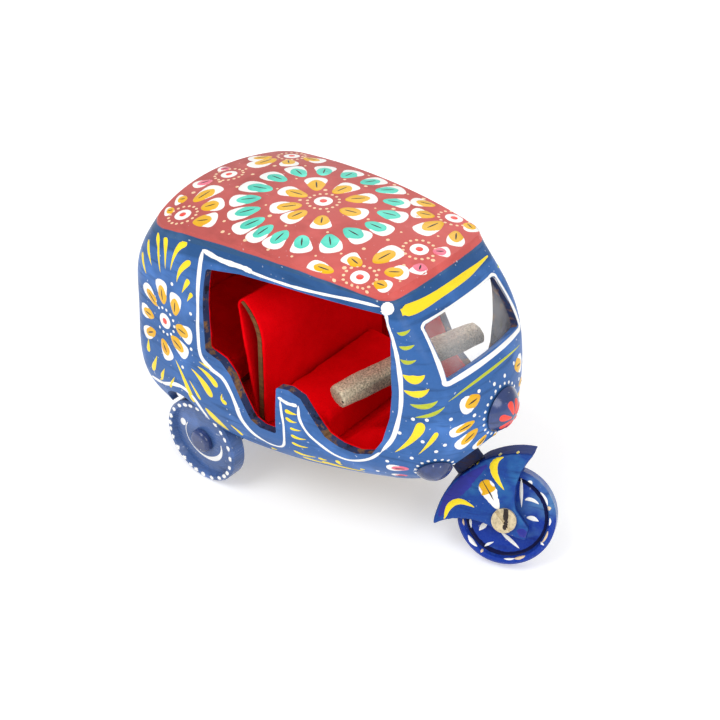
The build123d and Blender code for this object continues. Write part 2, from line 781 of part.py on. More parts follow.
PIECES = {
    "front_panel": front_panel,
    "rear_panel": rear_panel,
    "side_right": side_right,
    "side_left": side_left,
    "roof": roof,
    "floor_board": floor_board,
    "chin_board": chin_board,
    "floor_mat": floor_mat,
    "lining_right": lining_right,
    "lining_left": lining_left,
    "lining_rear": lining_rear,
    "lining_roof": lining_roof,
    "windscreen": windscreen,
    "passenger_seat": passenger_seat,
    "seat_box": seat_box,
    "driver_seat": driver_seat,
    "backrest_cover": backrest_cover,
    "backrest_board": backrest_board,
    "handlebar": handlebar,
    "steering_post": steering_post,
    "axle_beam": axle_beam,
    "axle_rod": axle_rod,
    "rear_wheel_right": rear_wheel_right,
    "rear_wheel_left": rear_wheel_left,
    "cap_right": cap_right,
    "cap_left": cap_left,
    "front_wheel": front_wheel,
    "fork": fork,
    "fork_pin": fork_pin,
    "fork_spacer": fork_spacer,
    "front_axle": front_axle,
    "headlamp": headlamp,
    "lamp_right": lamp_right,
    "lamp_left": lamp_left,
}

os.makedirs("parts", exist_ok=True)
for node, piece in PIECES.items():
    piece.part.label = node
    export_step(piece.part, "parts/" + node + ".step")
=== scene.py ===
"""Looks of a small hand-painted wooden toy auto rickshaw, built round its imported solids."""

import json
import math

import bpy
import numpy as np
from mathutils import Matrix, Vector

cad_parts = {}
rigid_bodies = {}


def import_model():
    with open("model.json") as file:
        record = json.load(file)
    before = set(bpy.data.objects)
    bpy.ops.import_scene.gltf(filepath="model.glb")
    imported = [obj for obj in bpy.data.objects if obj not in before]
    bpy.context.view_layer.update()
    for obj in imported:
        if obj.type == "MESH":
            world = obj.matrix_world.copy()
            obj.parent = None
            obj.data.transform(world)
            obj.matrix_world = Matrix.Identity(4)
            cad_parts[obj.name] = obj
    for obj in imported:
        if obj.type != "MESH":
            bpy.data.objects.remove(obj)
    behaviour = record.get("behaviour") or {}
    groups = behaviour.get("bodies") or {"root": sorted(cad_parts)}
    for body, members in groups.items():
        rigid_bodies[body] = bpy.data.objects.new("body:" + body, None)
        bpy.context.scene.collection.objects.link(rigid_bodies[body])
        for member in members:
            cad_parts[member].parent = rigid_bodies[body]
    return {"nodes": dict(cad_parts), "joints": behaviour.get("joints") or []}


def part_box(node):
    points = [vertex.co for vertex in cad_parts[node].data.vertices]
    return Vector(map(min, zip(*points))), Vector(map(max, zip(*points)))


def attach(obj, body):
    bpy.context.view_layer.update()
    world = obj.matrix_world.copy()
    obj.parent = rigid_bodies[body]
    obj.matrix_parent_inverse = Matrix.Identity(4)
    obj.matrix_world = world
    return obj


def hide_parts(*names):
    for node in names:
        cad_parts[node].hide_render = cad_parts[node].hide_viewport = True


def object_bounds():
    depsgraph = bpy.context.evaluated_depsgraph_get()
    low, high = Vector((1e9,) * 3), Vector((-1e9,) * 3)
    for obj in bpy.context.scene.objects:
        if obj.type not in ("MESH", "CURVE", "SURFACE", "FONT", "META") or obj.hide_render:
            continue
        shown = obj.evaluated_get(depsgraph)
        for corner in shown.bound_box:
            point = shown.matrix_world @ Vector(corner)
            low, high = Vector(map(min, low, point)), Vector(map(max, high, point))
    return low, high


bl_info = {
    "name": "Painted Toy Rickshaw",
    "version": (1, 0, 0),
    "blender": (4, 5, 0),
    "location": "View3D > Sidebar > Toy",
    "description": "Paints a wooden toy rickshaw: enamel, folk flowers, felt and a studio",
    "category": "Object",
}

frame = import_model()
SOLID_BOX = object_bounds()
NODES = frame["nodes"]
JOINTS = {joint["name"]: joint for joint in frame["joints"]}
AXLE = np.array(JOINTS["rear_right_spin"]["pos_m"], float)
FORK_AT = np.array(JOINTS["front_spin"]["pos_m"], float)
SPIN = np.array(JOINTS["front_spin"]["axis"], float)
PIN = np.array(JOINTS["fork_swivel"]["axis"], float)
WING = np.cross(PIN, SPIN)
MM = 0.001
# The roof's arch: how far its top stands ahead of the axle, and its radii along and across.
ROOF_APEX, ROOF_LONG, ROOF_CROSS = 0.034, 0.3, 0.13
PANELS = ("front_panel", "rear_panel", "side_right", "side_left", "roof")
# Places along a brush mark, closer at its ends, and across it, and how far its rim sinks in.
ALONG = (1 - np.cos(np.linspace(0, np.pi, 15))) / 2
ACROSS = np.linspace(-1, 1, 7)
SUNK = 0.00004
# Numbers of the paints in mark_paints, and of two more on the front wheel.
WHITE, AMBER, TEAL, PINK, INK, CORAL, CREAM, YELLOW, LEAF, PAINTED_SHADE, CHIP, RECESS_SHADE = range(12)
# Width of a petal's dark stroke, how much fatter than its row a petal of the roof or body is, and
# coats of paint in the dot of painted shade that stands for a nail hole.
PETAL_STROKE, ROOF_FAT, BODY_FAT, NAIL_SHADE_COATS = 1.05, 1.36, 1.15, 5 / 11
# The middle of the flower on the back, and its petals' ends, in millimetres.
BACK_AT, BACK_UP, BACK_FOOT, BACK_TIP = -34.2, 56, 5.5, 13.5
# Millimetres out from the front wheel's middle plane, from which marks are laid on its sunk face and
# rim, on the fork's cheek and on the screw head.
SUNK_FACE, RIM_FACE, CHEEK, SCREW_HEAD = 1.6, 3.2, 7.6, 8.4
# Depths below the roof's top at which its red and the dark band of the sides end.
RED_END, BAND_END = (0.0014, 0.00155), (0.0058, 0.0066)
BAND_BLUE = (0.022, 0.082, 0.23)

# Places of the painted marks, in millimetres forward of the rear axle, left of the middle and above
# the floor. Points picked by eye on the photo were carried through its camera onto the solids by a
# measuring script, and some were then moved by hand.
# Petals of the roof: width, then the inner end and the outer end.
ROOF_AMBER = (
    (5.3, 17.5, 0.7, 97, 6.9, 0, 96.2), (5.9, 19.8, -4.2, 97, 12.6, -11.1, 96.3),
    (5.8, 23.1, -5.9, 97.1, 21, -14.3, 96.4), (5.4, 28.7, -5.1, 97.3, 33, -11.3, 97),
    (5.9, 17.2, 5.5, 96.9, 9.9, 13.2, 95.8), (6, 22.3, 7.2, 97, 22.7, 17, 96),
    (6, 27.8, 6.1, 97.3, 34, 14.1, 96.7), (6, 30.4, 0.6, 97.4, 39.2, 2.8, 97.4),
    (4.8, 53.6, -17.7, 95.6, 47, -16.3, 96.2), (5.9, 55.4, -14.4, 95.9, 57.2, -4.1, 96.5),
    (5.2, 60.3, -15.6, 95.4, 65.9, -11.2, 95.3), (4.4, 60.6, -20.6, 94.6, 65.9, -19.4, 93.4),
    (4.3, 49, -24, 94.9, 40.6, -25.2, 95), (5.2, 48.5, 24, 95.3, 41.5, 20.5, 95.8),
    (5.6, 53, 17.6, 95.7, 46.4, 14.3, 96.4), (6, 56.4, 16.9, 95.5, 55.7, 5.5, 96.6),
    (4.8, 62.3, 15.7, 95.2, 67.4, 8.2, 95.4), (4.6, 60.8, 22.4, 94.1, 66, 19.8, 93.4),
    (6.1, -12.5, -18.1, 92.6, -11.9, -7.1, 93.8), (6.9, -7.4, -20.1, 93, -2.8, -14.3, 94.4),
    (6.4, -4.6, -26.4, 92.1, 2, -22.3, 93.8), (5.2, -16.1, -17.3, 92.1, -19.4, -19.4, 91.2),
    (4.4, -15.4, -23.6, 91.3, -17.8, -25.6, 90.2), (6.2, -12.4, 19.2, 92.1, -13.8, 8.2, 93.4),
    (5, -15, 20.2, 91.9, -19.8, 13.6, 91.8), (5.5, -8.6, 20.6, 92.6, -3.2, 15.6, 94),
    (5, -6.2, 25.4, 91.9, 2, 26.4, 92.9),
)
ROOF_TEAL = (
    (5.7, 7, 11.1, 95.8, -2.6, 15.6, 94.2), (5.9, 4.7, 5.2, 95.9, -5.7, 6.3, 94.7),
    (6.5, 5.5, -1.9, 96.1, -6, -3.7, 94.7), (6, 6, -7.3, 95.9, -1.8, -13.6, 94.6),
    (5.9, 10, -11.9, 95.9, 3.9, -20.3, 94.4), (5.6, 14.9, -15.4, 96, 11.1, -25.2, 94.1),
    (5.3, 19.6, -17, 96, 18.6, -26.6, 94.2), (5.7, 25.2, -16.9, 96.3, 25.9, -26.2, 94.7),
    (5.6, 30.6, -16.3, 96.4, 35.9, -23, 95.4), (6, 36.7, -11.6, 97, 43.3, -18.1, 96.1),
    (6.2, 38.3, -6.8, 97.3, 47.9, -7.6, 96.9), (5.9, 41.1, -0.4, 97.4, 50.5, 0.2, 97),
    (6.2, 39.6, 6.8, 97.3, 48.8, 9.8, 96.7), (5.8, 36.2, 13.7, 96.6, 43.4, 18.3, 96),
    (6, 30.2, 17.6, 96.2, 35.3, 25.9, 94.9), (5.8, 23.4, 18.8, 96.1, 26, 27.6, 94.4),
    (5.8, 16.4, 18.4, 95.9, 15.4, 27.2, 94), (5.8, 10.6, 15.6, 95.6, 5.4, 23.6, 93.8),
)
ROOF_PINK = (
    (4.5, 64.6, 1.1, 95.8, 68.2, 4.7, 94.6), (4.6, 65.8, -5.6, 95.6, 68, -10.2, 94.2),
    (3.6, -18.6, 4.6, 92.6, -22.2, 2.2, 92), (4.4, -17.2, -5, 92.9, -20.6, -10.6, 92),
)
# Middles of the roof's flowers, each with a radius.
ROOF_HEARTS = (
    (3.2, 23.3, 1.4, 97.3), (3.1, 56.3, -21.3, 94.9), (3.1, 61.3, -0.8, 96.2), (3.1, 57, 21.8, 94.8),
    (3, -10.6, -24.7, 91.8), (3, -15.5, 0.6, 93.4), (3, -10.6, 24.7, 91.8),
)
ROOF_DOTS = (
    (17.8, 17.8, 95.8), (25.8, 18.4, 96.1), (37.9, 8.1, 97.2), (41.9, 11.8, 96.8), (40.6, 1.5, 97.4),
    (35.8, -11.2, 97), (49.6, 13.4, 96.3), (52.1, 2.5, 96.9), (51.8, -3.3, 96.9), (49.3, -11.1, 96.6),
    (45.6, -16.7, 96.2), (50.3, -20.9, 95.4), (58.6, -15.8, 95.5), (62.7, -9.7, 95.8), (67.2, -2.2, 95),
    (66, -15.6, 94.2), (66.4, 11.4, 94.8), (44.8, 23.2, 95.3), (38, 23.8, 95.2), (-2.1, 24.3, 92.9),
    (60.8, 8.8, 96), (61, -23.6, 93.4), (50.6, -25.4, 93.8), (40.2, -21.5, 95.6), (18.8, 7.5, 96.8),
    (-7.5, 28.2, 91.4), (0.4, 19, 93.4), (-7.5, 13.2, 93.8), (6, 8.6, 95.8), (-8.4, 4, 94.4),
    (-6.2, -5.3, 94.6), (10.2, -9.9, 96.2), (15.5, -13.9, 96.2), (23.3, -15.4, 96.4), (4.7, -22.3, 94.1),
    (8.1, -28.2, 93.4), (10.7, -26.7, 93.8), (17.3, -28.2, 93.8), (26.4, -28.2, 94.2), (34.5, -25.3, 95),
    (-17.1, -13.7, 92.4), (6.1, -0.3, 96.1), (17.1, -2.2, 97), (30.6, 28.4, 94), (20.4, 28.6, 93.8),
    (-14.2, -4.8, 93.4), (-13.6, 6.4, 93.4), (28.7, -2.6, 97.4), (43, 25.2, 94.8), (46, -25.6, 94.4),
)
# Flower petals on the right side, and on the nose: its right half and one in the middle.
SIDE_AMBER = (
    (5.4, -10, -36.4, 65.4, -10.8, -35.8, 74.1), (5.5, -4.8, -36.8, 63.7, -3.8, -36.4, 72),
    (6.1, -4.8, -37, 59.9, 3, -37.4, 58.7), (5.7, -7.2, -37.2, 55.3, 0.8, -38, 51.3),
    (5.7, -11.6, -37, 52.2, -7.7, -38, 45.8), (5, -13.1, -36.1, 63.1, -19.5, -35.3, 68.8),
    (5.1, -15.4, -36.1, 58.1, -22.4, -34.9, 58.6), (4.8, -14.8, -36.5, 53.1, -21.2, -35.6, 49.6),
)
NOSE_SIDE = (
    (5.8, 90.3, -8.6, 62.6, 88.2, -15.4, 60.6), (3.8, 90.6, -11.1, 55.1, 86.9, -18.2, 52.3),
    (5, 91.1, -10, 51.9, 87.7, -15.7, 46.2), (3.6, 91.7, -6.2, 47.6, 89.8, -9.7, 43.2),
)
NOSE_MIDDLE = ((3, 92, -1.4, 45.6, 91.2, -2.4, 42.4),)
SIDE_PINK = ((4, 76.2, -22.6, 36.7, 69.4, -24.8, 35.4), (2.6, 75, -21.8, 31.4, 70, -23.4, 29.6))
# Yellow strokes of the right side: width, then the fat end, the middle and the thin end.
SIDE_YELLOW = (
    (1.9, -10.9, -31.6, 87.4, -10, -33.4, 84, -8.9, -35.2, 78.1),
    (1.7, -14.4, -31.8, 87.5, -12.8, -34, 82, -11, -35.4, 76.1),
    (1.6, -18.5, -32.3, 83.7, -17, -33.8, 80.2, -15.2, -35, 76.7),
    (1.6, -20.7, -33.4, 78.9, -19.4, -34.4, 75.8, -17.9, -35.3, 72.8),
    (2.3, -1.7, -31.9, 88.4, -5.2, -33, 85.4, -6.6, -35.2, 78.4),
    (2.3, 1.1, -33.6, 83.9, -2.3, -34.8, 80.4, -3.5, -35.9, 75.9),
    (2, 1.5, -35.3, 78.5, 0.4, -35.9, 76.5, -1.1, -36.3, 73.3),
    (1.5, 3.3, -36.2, 74.8, 2.3, -36.4, 73.3, 1.2, -36.6, 71.3),
    (2.4, 2.4, -38.5, 34.3, -0.8, -38.7, 41.4, -5.1, -38, 47.5),
    (1.3, 5.9, -38.8, 37.3, 3.8, -38.9, 40.1, 1.3, -38.7, 43),
    (3, 11.2, -38.8, 40.9, 7.3, -38.6, 45, 2.2, -38.4, 47.7),
    (2.4, 13.6, -38.5, 45.8, 9.8, -38.3, 48.5, 5, -38.2, 49.8),
    (0.9, 11, -38, 51.3, 8.2, -38, 51.5, 5.7, -38, 51.8),
    (1.7, 17.4, -38.5, 41.4, 15.4, -38.6, 42, 15.6, -38.5, 44.4),
    (1.9, -19.2, -36.8, 43.4, -19.1, -36.6, 46.1, -18.9, -36.4, 48.4),
    (2, -17.8, -37, 36.8, -15.9, -37.3, 40.9, -14.5, -37.3, 44.3),
    (2, -13.9, -37.2, 34.6, -12.4, -37.8, 38, -10.8, -38, 41.3),
    (1.4, -9.3, -37.8, 34.5, -7.4, -38.3, 37.7, -5.8, -38.4, 40.6),
    (1.8, 20.6, -36.2, 28.8, 19.7, -36.9, 30.8, 17.4, -37.7, 32.7),
    (1.5, 39, -35.5, 47.9, 41.1, -35.1, 47.6, 43.2, -34.7, 47.8),
    (1.3, 39.3, -35.6, 45.4, 41.1, -35.3, 44.6, 43.2, -34.8, 44.9),
    (1, 40.7, -35.4, 41.9, 42.5, -35, 41.8, 44.6, -34.6, 42.3),
    (1.3, 40.8, -35.2, 39.2, 43.3, -34.7, 38.7, 46, -34.1, 39.4),
    (1.2, 40.7, -34.9, 36, 43.3, -34.1, 35.4, 46.3, -33.6, 36),
    (1.5, 40.3, -33.7, 31.9, 43.5, -32.5, 30.9, 47.8, -31.7, 31.9),
    (1.3, 42.2, -32, 29, 46.4, -30.8, 28.4, 51, -29.6, 28.8),
    (1.7, 48.6, -31.5, 32, 49.5, -31, 31.4, 51.2, -30.7, 31.8),
    (1.7, 54.9, -30.1, 33.3, 54.7, -29.4, 31.6, 55.6, -28.8, 31),
    (2, 48.6, -30.6, 29.6, 55, -28.4, 28.4, 62, -25.6, 28.6),
    (1.2, 60.6, -26.4, 30.8, 61.4, -26.2, 30.8, 62.2, -26, 31.2),
    (1.3, 31, -34, 27.8, 32, -33.9, 27.8, 33.2, -33.8, 28),
    (3, 80.3, -22.9, 56.5, 78.4, -23.6, 50.4, 72.9, -25.5, 43.2),
    (1.7, 84.5, -20.7, 53.6, 82.7, -21.6, 49.4, 79.5, -22.8, 44),
)
BIG_STROKE = (4.2, 14.8, -36, 27.6, 11.2, -37.6, 31.2, 7.4, -38.4, 35)
# Leaf strokes on the front pillar: width, then both ends and the middle between them.
PILLAR_YELLOW = (
    (3.2, 74.7, -24.8, 72, 77.9, -23.8, 71, 80.6, -22.3, 73.2),
    (2.6, 75.2, -24.8, 66.8, 78.9, -23.5, 66.2, 82.1, -22, 68.9),
)
PILLAR_LEAF = (
    (1.3, 71.4, -23.7, 84.2, 73, -22.8, 84, 74, -20.9, 84.9),
    (1.4, 72.7, -24.2, 80.4, 74.7, -23.6, 80.3, 76.4, -21.9, 81.3),
    (1.5, 73.6, -24.7, 76.7, 75.6, -24.1, 76.1, 77.9, -22.9, 77.4),
    (2.1, 77, -24.2, 62.3, 80.9, -22.7, 62.3, 84.3, -20.7, 65),
    (1.5, 78.5, -23.6, 57.9, 82.8, -21.8, 59.8, 85.8, -19.3, 62.8),
)
SIDE_DOTS = (
    (-5.6, -36, 74.5), (2.6, -36.9, 67.6), (2.3, -37.8, 54.7), (-1.7, -38.3, 46.3), (78, -23.8, 57.1),
    (81.8, -22.3, 57.7), (87.1, -18, 58), (90.4, -11.2, 57.1), (74.4, -25.2, 51.1), (80.8, -22.6, 49.4),
    (86, -18.8, 48.5), (84.1, -20.3, 46), (77.6, -23.3, 42.1), (89.8, -8.7, 64), (90.9, -2.6, 63.5),
    (70.5, -25.8, 38.7), (66.4, -25.4, 31.4),
)
SIDE_HEART = (3, -9.8, -36.6, 59.4)
# Hand-drawn white lines of the right side, each with its width, and lines round the ends.
DOOR_LINES = (
    (2, (
        (4.7, -31.7, 88.6), (4.7, -33, 85.4), (5.2, -34.8, 80.4), (5.8, -36.7, 71.2), (5.5, -37.2, 62.8),
        (6.4, -37.8, 54.6), (10.8, -38, 51.5), (15.6, -38, 50.1), (18.7, -38.1, 46.7), (21, -38.2, 42.4),
        (22.8, -38, 37.7), (26.7, -36.7, 33.1), (31.4, -35.3, 31),
    )),
    (1.1, (
        (30.4, -35.5, 31.2), (33, -35, 30.8), (35.9, -34.8, 31.5), (37.8, -35.1, 34.5), (38.5, -35.8, 41.4),
        (37.8, -35.8, 46.7), (37.3, -35.7, 50.8),
    )),
    (1.6, ((36.6, -35.8, 51.6), (39.8, -35.2, 50.7), (43.2, -34.5, 51))),
    (1.3, (
        (43.5, -34.4, 51.2), (44, -34.6, 46.5), (46.5, -34.2, 42.2), (50, -32.9, 39.2), (54.9, -31, 35.9),
        (59.4, -29.2, 35.2), (65.1, -27.8, 37.9), (69.8, -26.8, 43.2),
    )),
    (1.8, (
        (69.2, -26.9, 42.4), (72.5, -25.9, 48.7), (74.1, -25.3, 56.5), (74.6, -25.1, 63), (74.2, -25.1, 70),
        (73.2, -25, 75), (72.1, -24.8, 78.7), (70.3, -24.4, 82.5), (68.4, -24.1, 85.7), (67.2, -23.4, 89.4),
    )),
    (2, ((4.5, -31.7, 88.5), (12.2, -31.8, 88), (19.7, -31.1, 88.3), (24, -30.8, 88.1))),
    (1.2, (
        (22, -31, 88), (28.2, -30.5, 88), (37.7, -29.3, 88.2), (46.8, -27.7, 88.8), (57.3, -25.6, 89.8),
        (65.5, -23.9, 90.2),
    )),
    (1.9, (
        (-19.6, -35, 33.2), (-16.4, -36.6, 33.4), (-12.2, -37.4, 34.4), (-6.8, -38.3, 37.2),
        (-2.4, -38.6, 38.3), (2.1, -38.8, 36.9), (5.5, -38.2, 32.7), (7, -36.9, 29),
    )),
)
BACK_LINE = (
    (-30, -30, 32.6), (-33.6, -20, 32), (-35, -8, 31.6), (-35, 8, 31.6), (-33.6, 20, 32), (-30, 30, 32.6),
)
BROW_LINE = (
    (70.6, -20.7, 88.9), (72.3, -14.3, 88.8), (73.2, -5.5, 89.1), (73.2, 6, 89.1), (72.5, 12.8, 88.9),
    (71.6, 19, 88.7),
)
NOSE_LINE = ((86.2, -18.4, 64.3), (87.9, -13, 66.3), (89, -4.9, 67.5), (89, 5.1, 67.5), (87.3, 15, 66))
# Marks on the front fork and wheel: width, then points forward of and along the fork from its axle.
FORK_PETAL = (5.4, 0.6, 3.6, 1.3, 8.4, 1.9, 13.6)
FORK_CRESCENTS = ((2.6, 11.7, 15.9, 7, 14.8, 5.6, 7.4), (2.4, -15.6, 9.7, -9.6, 13, -5.2, 8.1))
# Dark strokes of painted shade on the fork's cheeks, the first along the top edge where the cheek rounds
# over.
FORK_PAINTED_SHADE = ((5.4, -16.5, 11.6, -6.5, 15.6, 6.5, 16.6), (3.4, 1.2, -4.6, 2.4, -6.6, 3, -8.8))
FORK_DABS = ((1.2, 3.4, 19), (1.3, 10.6, 16.8), (1.2, 15.6, 14.6))
# A dark line of painted shade over the screw's slot.
SCREW_SLOT_SHADE = (1.7, 3.9, 3.7, 1.2, 0.6, -1.5, -2.5)
WHEEL_DASHES = (
    (1.3, 11, 7.3, 8.2, 3.6, 5.2, -0.6), (1.6, 7.4, 0.8, 9.2, -0.2, 10.3, -2.7),
    (1.7, 4.5, -4, 6, -5.1, 7, -7), (1.9, -10.1, 0.8, -7.9, 1.3, -6.2, 1.4),
    (1.6, -4.7, -3.2, -3.9, -6.4, -3, -10.7), (1, -11.8, -4.2, -10.4, -4.2, -8.3, -4.6),
    (1.3, -11.6, 2.8, -10.8, 4.4, -10, 5.4), (1.4, -2.4, 8, 0.6, 9.2, 4, 9.6),
)
# Turns of the chips round the front wheel's rim, in degrees.
RIM_CHIPS = (-8, -22, -40, -62, -72, -108, -122, -160, -178, -206, 20, 58, 96, 132)
# Paints and cloth: label, use, and colour in light.
PAINTS = {
    "blue": ("Blue enamel", "Body paint", (0.037, 0.12, 0.34)),
    "red": ("Roof red", "Paint on top of the roof", (0.56, 0.092, 0.082)),
    # The roof's red is darker towards the back.
    "red_back": ("Roof red, back", "Duller paint behind", (0.42, 0.09, 0.083)),
    "white": ("White", "Petals and lines", (0.88, 0.87, 0.84)),
    "amber": ("Amber", "Inner half of the petals", (0.77, 0.42, 0.004)),
    "yellow": ("Yellow", "Comma strokes", (0.9, 0.68, 0.015)),
    "leaf": ("Leaf green", "Leaf strokes on the pillars", (0.46, 0.5, 0.03)),
    "teal": ("Teal", "Outer ring of the roof flower", (0.07, 0.62, 0.47)),
    "pink": ("Pink", "Small petals", (0.74, 0.14, 0.22)),
    "coral": ("Coral", "Flower hearts", (0.8, 0.07, 0.05)),
    "cream": ("Cream", "Dots on the roof", (0.84, 0.58, 0.36)),
    "felt": ("Red felt", "Cabin lining and seats", (0.95, 0.0012, 0.005)),
    "wood": ("Bare wood", "Cut edges and boards", (0.3, 0.17, 0.085)),
    "gilt": ("Gilt", "Handlebar paint", (0.62, 0.52, 0.36)),
}


class ToyPaint(bpy.types.PropertyGroup):
    """Paints and cloth of the toy, and the sizes of a daub and of the felt's cells."""

    __annotations__ = {
        key: bpy.props.FloatVectorProperty(
            name=label, description=use, subtype="COLOR", size=3, default=colour
        )
        for key, (label, use, colour) in PAINTS.items()
    }
    rise: bpy.props.FloatProperty(
        name="Paint rise", description="Height of a daub", subtype="DISTANCE", default=0.00011, min=0.0
    )
    nap: bpy.props.FloatProperty(
        name="Felt grain", description="Cell that rounds felt", subtype="DISTANCE", default=0.0004, min=0.0002
    )


def paint():
    """The scene's colours and sizes."""
    return bpy.context.scene.toy_paint


def row_frame(points):
    """Millimetres forward of the axle, left and up, to metres in the shared frame."""
    return np.asarray(points, float) * MM + np.array([AXLE[0], 0.0, 0.0])


def axle_frame(points):
    """Metres in the shared frame to millimetres forward of the axle, left and up."""
    return (points - [AXLE[0], 0, 0]) / MM


def mirrored(rows):
    """The same marks on the other side: every left-right number changes sign."""
    rows = np.array(rows, float)
    rows[:, 2::3] *= -1
    return rows


def mark_rows(width, *points):
    """Rows of marks from a width and points, of which any number may be an array."""
    return np.stack(np.broadcast_arrays(width, *[number for point in points for number in point]), -1)


def on_fork(rows, out):
    """Marks drawn on the fork's own plane, out millimetres along the axle."""
    rows = np.asarray(rows, float)
    flat = rows[:, 1:].reshape(len(rows), -1, 2)
    spot = axle_frame(FORK_AT + (flat[..., :1] * WING + flat[..., 1:] * PIN + out * SPIN) * MM)
    return np.concatenate([rows[:, :1], spot.reshape(len(rows), -1)], 1)


def arcs(width, turn, steps, radius):
    """Rows of short arcs on the fork's plane: the turns of their middles and steps to their ends."""
    turns = [turn + step for step in steps]
    return mark_rows(width, *((radius * np.cos(at), radius * np.sin(at)) for at in turns))


def corners(node):
    """The low and high corner of a solid's box."""
    return [np.array(corner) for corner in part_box(node)]


def unit(v):
    """Directions of length one."""
    return v / np.maximum(np.linalg.norm(v, axis=-1, keepdims=True), 1e-12)


def solid_arrays(names):
    """Corners and triangles of some solids together."""
    found, faces, count = [], [], 0
    for name in names:
        mesh = NODES[name].data
        co = np.empty(len(mesh.vertices) * 3)
        mesh.vertices.foreach_get("co", co)
        mesh.calc_loop_triangles()
        tri = np.empty(len(mesh.loop_triangles) * 3, np.int64)
        mesh.loop_triangles.foreach_get("vertices", tri)
        found.append(co.reshape(-1, 3))
        faces.append(tri.reshape(-1, 3) + count)
        count += len(mesh.vertices)
    return np.concatenate(found), np.concatenate(faces)


def merged(co, faces):
    """Corners that meet become one, and faces that shrink to a line go."""
    kept, inverse = np.unique(np.round(co, 7), axis=0, return_inverse=True)
    faces = inverse.reshape(-1)[faces]
    return kept, faces[(faces != np.roll(faces, -1, 1)).all(1)]


def linked(name, data):
    """A new object in the scene."""
    obj = bpy.data.objects.new(name, data)
    bpy.context.scene.collection.objects.link(obj)
    return obj


def mesh_object(name, co, faces):
    """An object at the origin with the given corners and faces."""
    mesh = bpy.data.meshes.new(name)
    mesh.from_pydata(co.tolist(), [], faces.tolist())
    mesh.update()
    return linked(name, mesh)


def smoothed(mesh):
    """Shades all the faces smooth."""
    mesh.polygons.foreach_set("use_smooth", np.ones(len(mesh.polygons), bool))


def skin(name, names):
    """A merged copy of some solids, which marks are laid on and which is then removed."""
    obj = mesh_object(name, *merged(*solid_arrays(names)))
    obj.hide_render = True
    return obj


def lay_on(points, target):
    """Carries points to the nearest place on the target.

    Gives those places and the outward direction at each: two wraps, one a millimetre above the
    surface, differ by that direction.
    """
    flat = np.ascontiguousarray(points.reshape(-1, 3))
    mesh = bpy.data.meshes.new("laid")
    mesh.vertices.add(len(flat))
    mesh.vertices.foreach_set("co", flat.ravel())
    obj = linked("laid", mesh)
    wrap = obj.modifiers.new("wrap", "SHRINKWRAP")
    wrap.target = target
    wrap.wrap_mode = "ABOVE_SURFACE"
    found = []
    for gap in (0.0, MM):
        wrap.offset = gap
        done = obj.evaluated_get(bpy.context.evaluated_depsgraph_get())
        co = np.empty(flat.size)
        done.data.vertices.foreach_get("co", co)
        found.append(co.reshape(points.shape))
    bpy.data.objects.remove(obj)
    bpy.data.meshes.remove(mesh)
    return found[0], unit(found[1] - found[0])


def grid_faces(count, rows, columns, closed=False):
    """Quads of some separate grids; closed joins the last row of each to its first."""
    along = np.arange(rows if closed else rows - 1)[:, None]
    ahead = (along + 1) % rows
    across = np.arange(columns - 1)[None, :]
    a, b = along * columns + across, ahead * columns + across
    quads = np.stack([a, b, b + 1, a + 1], -1).reshape(-1, 4)
    return (quads[None] + (np.arange(count) * rows * columns)[:, None, None]).reshape(-1, 4)


def petal_shape(s):
    """Half width of a petal: grows as a root of s from its foot and rounds off at its tip."""
    return 0.04 + 0.96 * s**0.62 * np.sqrt(1 - s**5) / 0.72


def inner_shape(s):
    """Half width of the coloured daub on a petal: grows from the foot and closes to a blunt point."""
    return 0.04 + 0.96 * s**0.55 * (1 - s**3.2) ** 0.75 / 0.66


def cap_shape(s):
    """Half width of the outer end of a petal, cut off square where it starts."""
    return petal_shape(0.56 + 0.44 * s) * (0.96 + 0.05 * np.sin(11 * s))


def comma_shape(s):
    """Half width of a comma stroke: a round head at s = 0 and a long tail that thins to nothing."""
    return 0.03 + 0.97 * (1 - s) ** 0.9 * np.sqrt(1 - (1 - s) ** 6) / 0.66


def leaf_shape(s):
    """Half width of a leaf stroke: a sine, thin at both ends."""
    return 0.03 + 0.97 * np.sin(np.pi * s) ** 0.8


def line_shape(s):
    """Half width of a drawn line: even, with quick ends and a slow wander of the hand."""
    ends = np.clip(np.minimum(s, 1 - s) * 14, 0.05, 1) ** 0.5
    return ends * (1 + 0.1 * np.sin(17 * s) + 0.07 * np.sin(41 * s + 1))


def ring_shape(s):
    """Half width of a closed line: a slow wander that meets itself."""
    return 1 + 0.08 * np.sin(2 * np.pi * 5 * s) + 0.05 * np.sin(2 * np.pi * 11 * s)


def brow_shape(s):
    """Half width of the stroke over the windscreen: blunt at one end, thin at the other."""
    return np.clip(s * 18, 0.35, 1) ** 0.5 * (1.08 - 0.9 * s**1.8) * (1 + 0.07 * np.sin(13 * s))


def comma_line(s):
    """Half width of a swept line: thin at its start, fullest past the middle, closing to a point."""
    return 0.22 + 0.78 * np.exp(-(((s - 0.72) / 0.2) ** 2)) - 0.2 * s**12


class Coat:
    """Painted marks that make one piece: their corners, quads and paints."""

    def __init__(self):
        self.corners, self.quads, self.paints, self.count = [], [], [], 0

    def add(self, base, out, swell, coats, quads, colour):
        """Takes in marks of one paint: places, raised along out by swell, from 1 at the thickest to 0
        at the rim, times some coats of paint, less the sunk rim."""
        height = (paint().rise * coats + SUNK) * swell - SUNK
        self.corners.append((base + out * height[..., None]).reshape(-1, 3))
        self.quads.append(quads + self.count)
        self.paints.append(np.full(len(quads), colour))
        self.count += base.size // 3

    def piece(self, name, body, more=()):
        """The finished piece, smooth, riding on a body."""
        obj = mesh_object(name, np.concatenate(self.corners), np.concatenate(self.quads))
        for material in mark_paints() + more:
            obj.data.materials.append(material)
        obj.data.polygons.foreach_set("material_index", np.concatenate(self.paints).astype(np.int32))
        smoothed(obj.data)
        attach(obj, body)


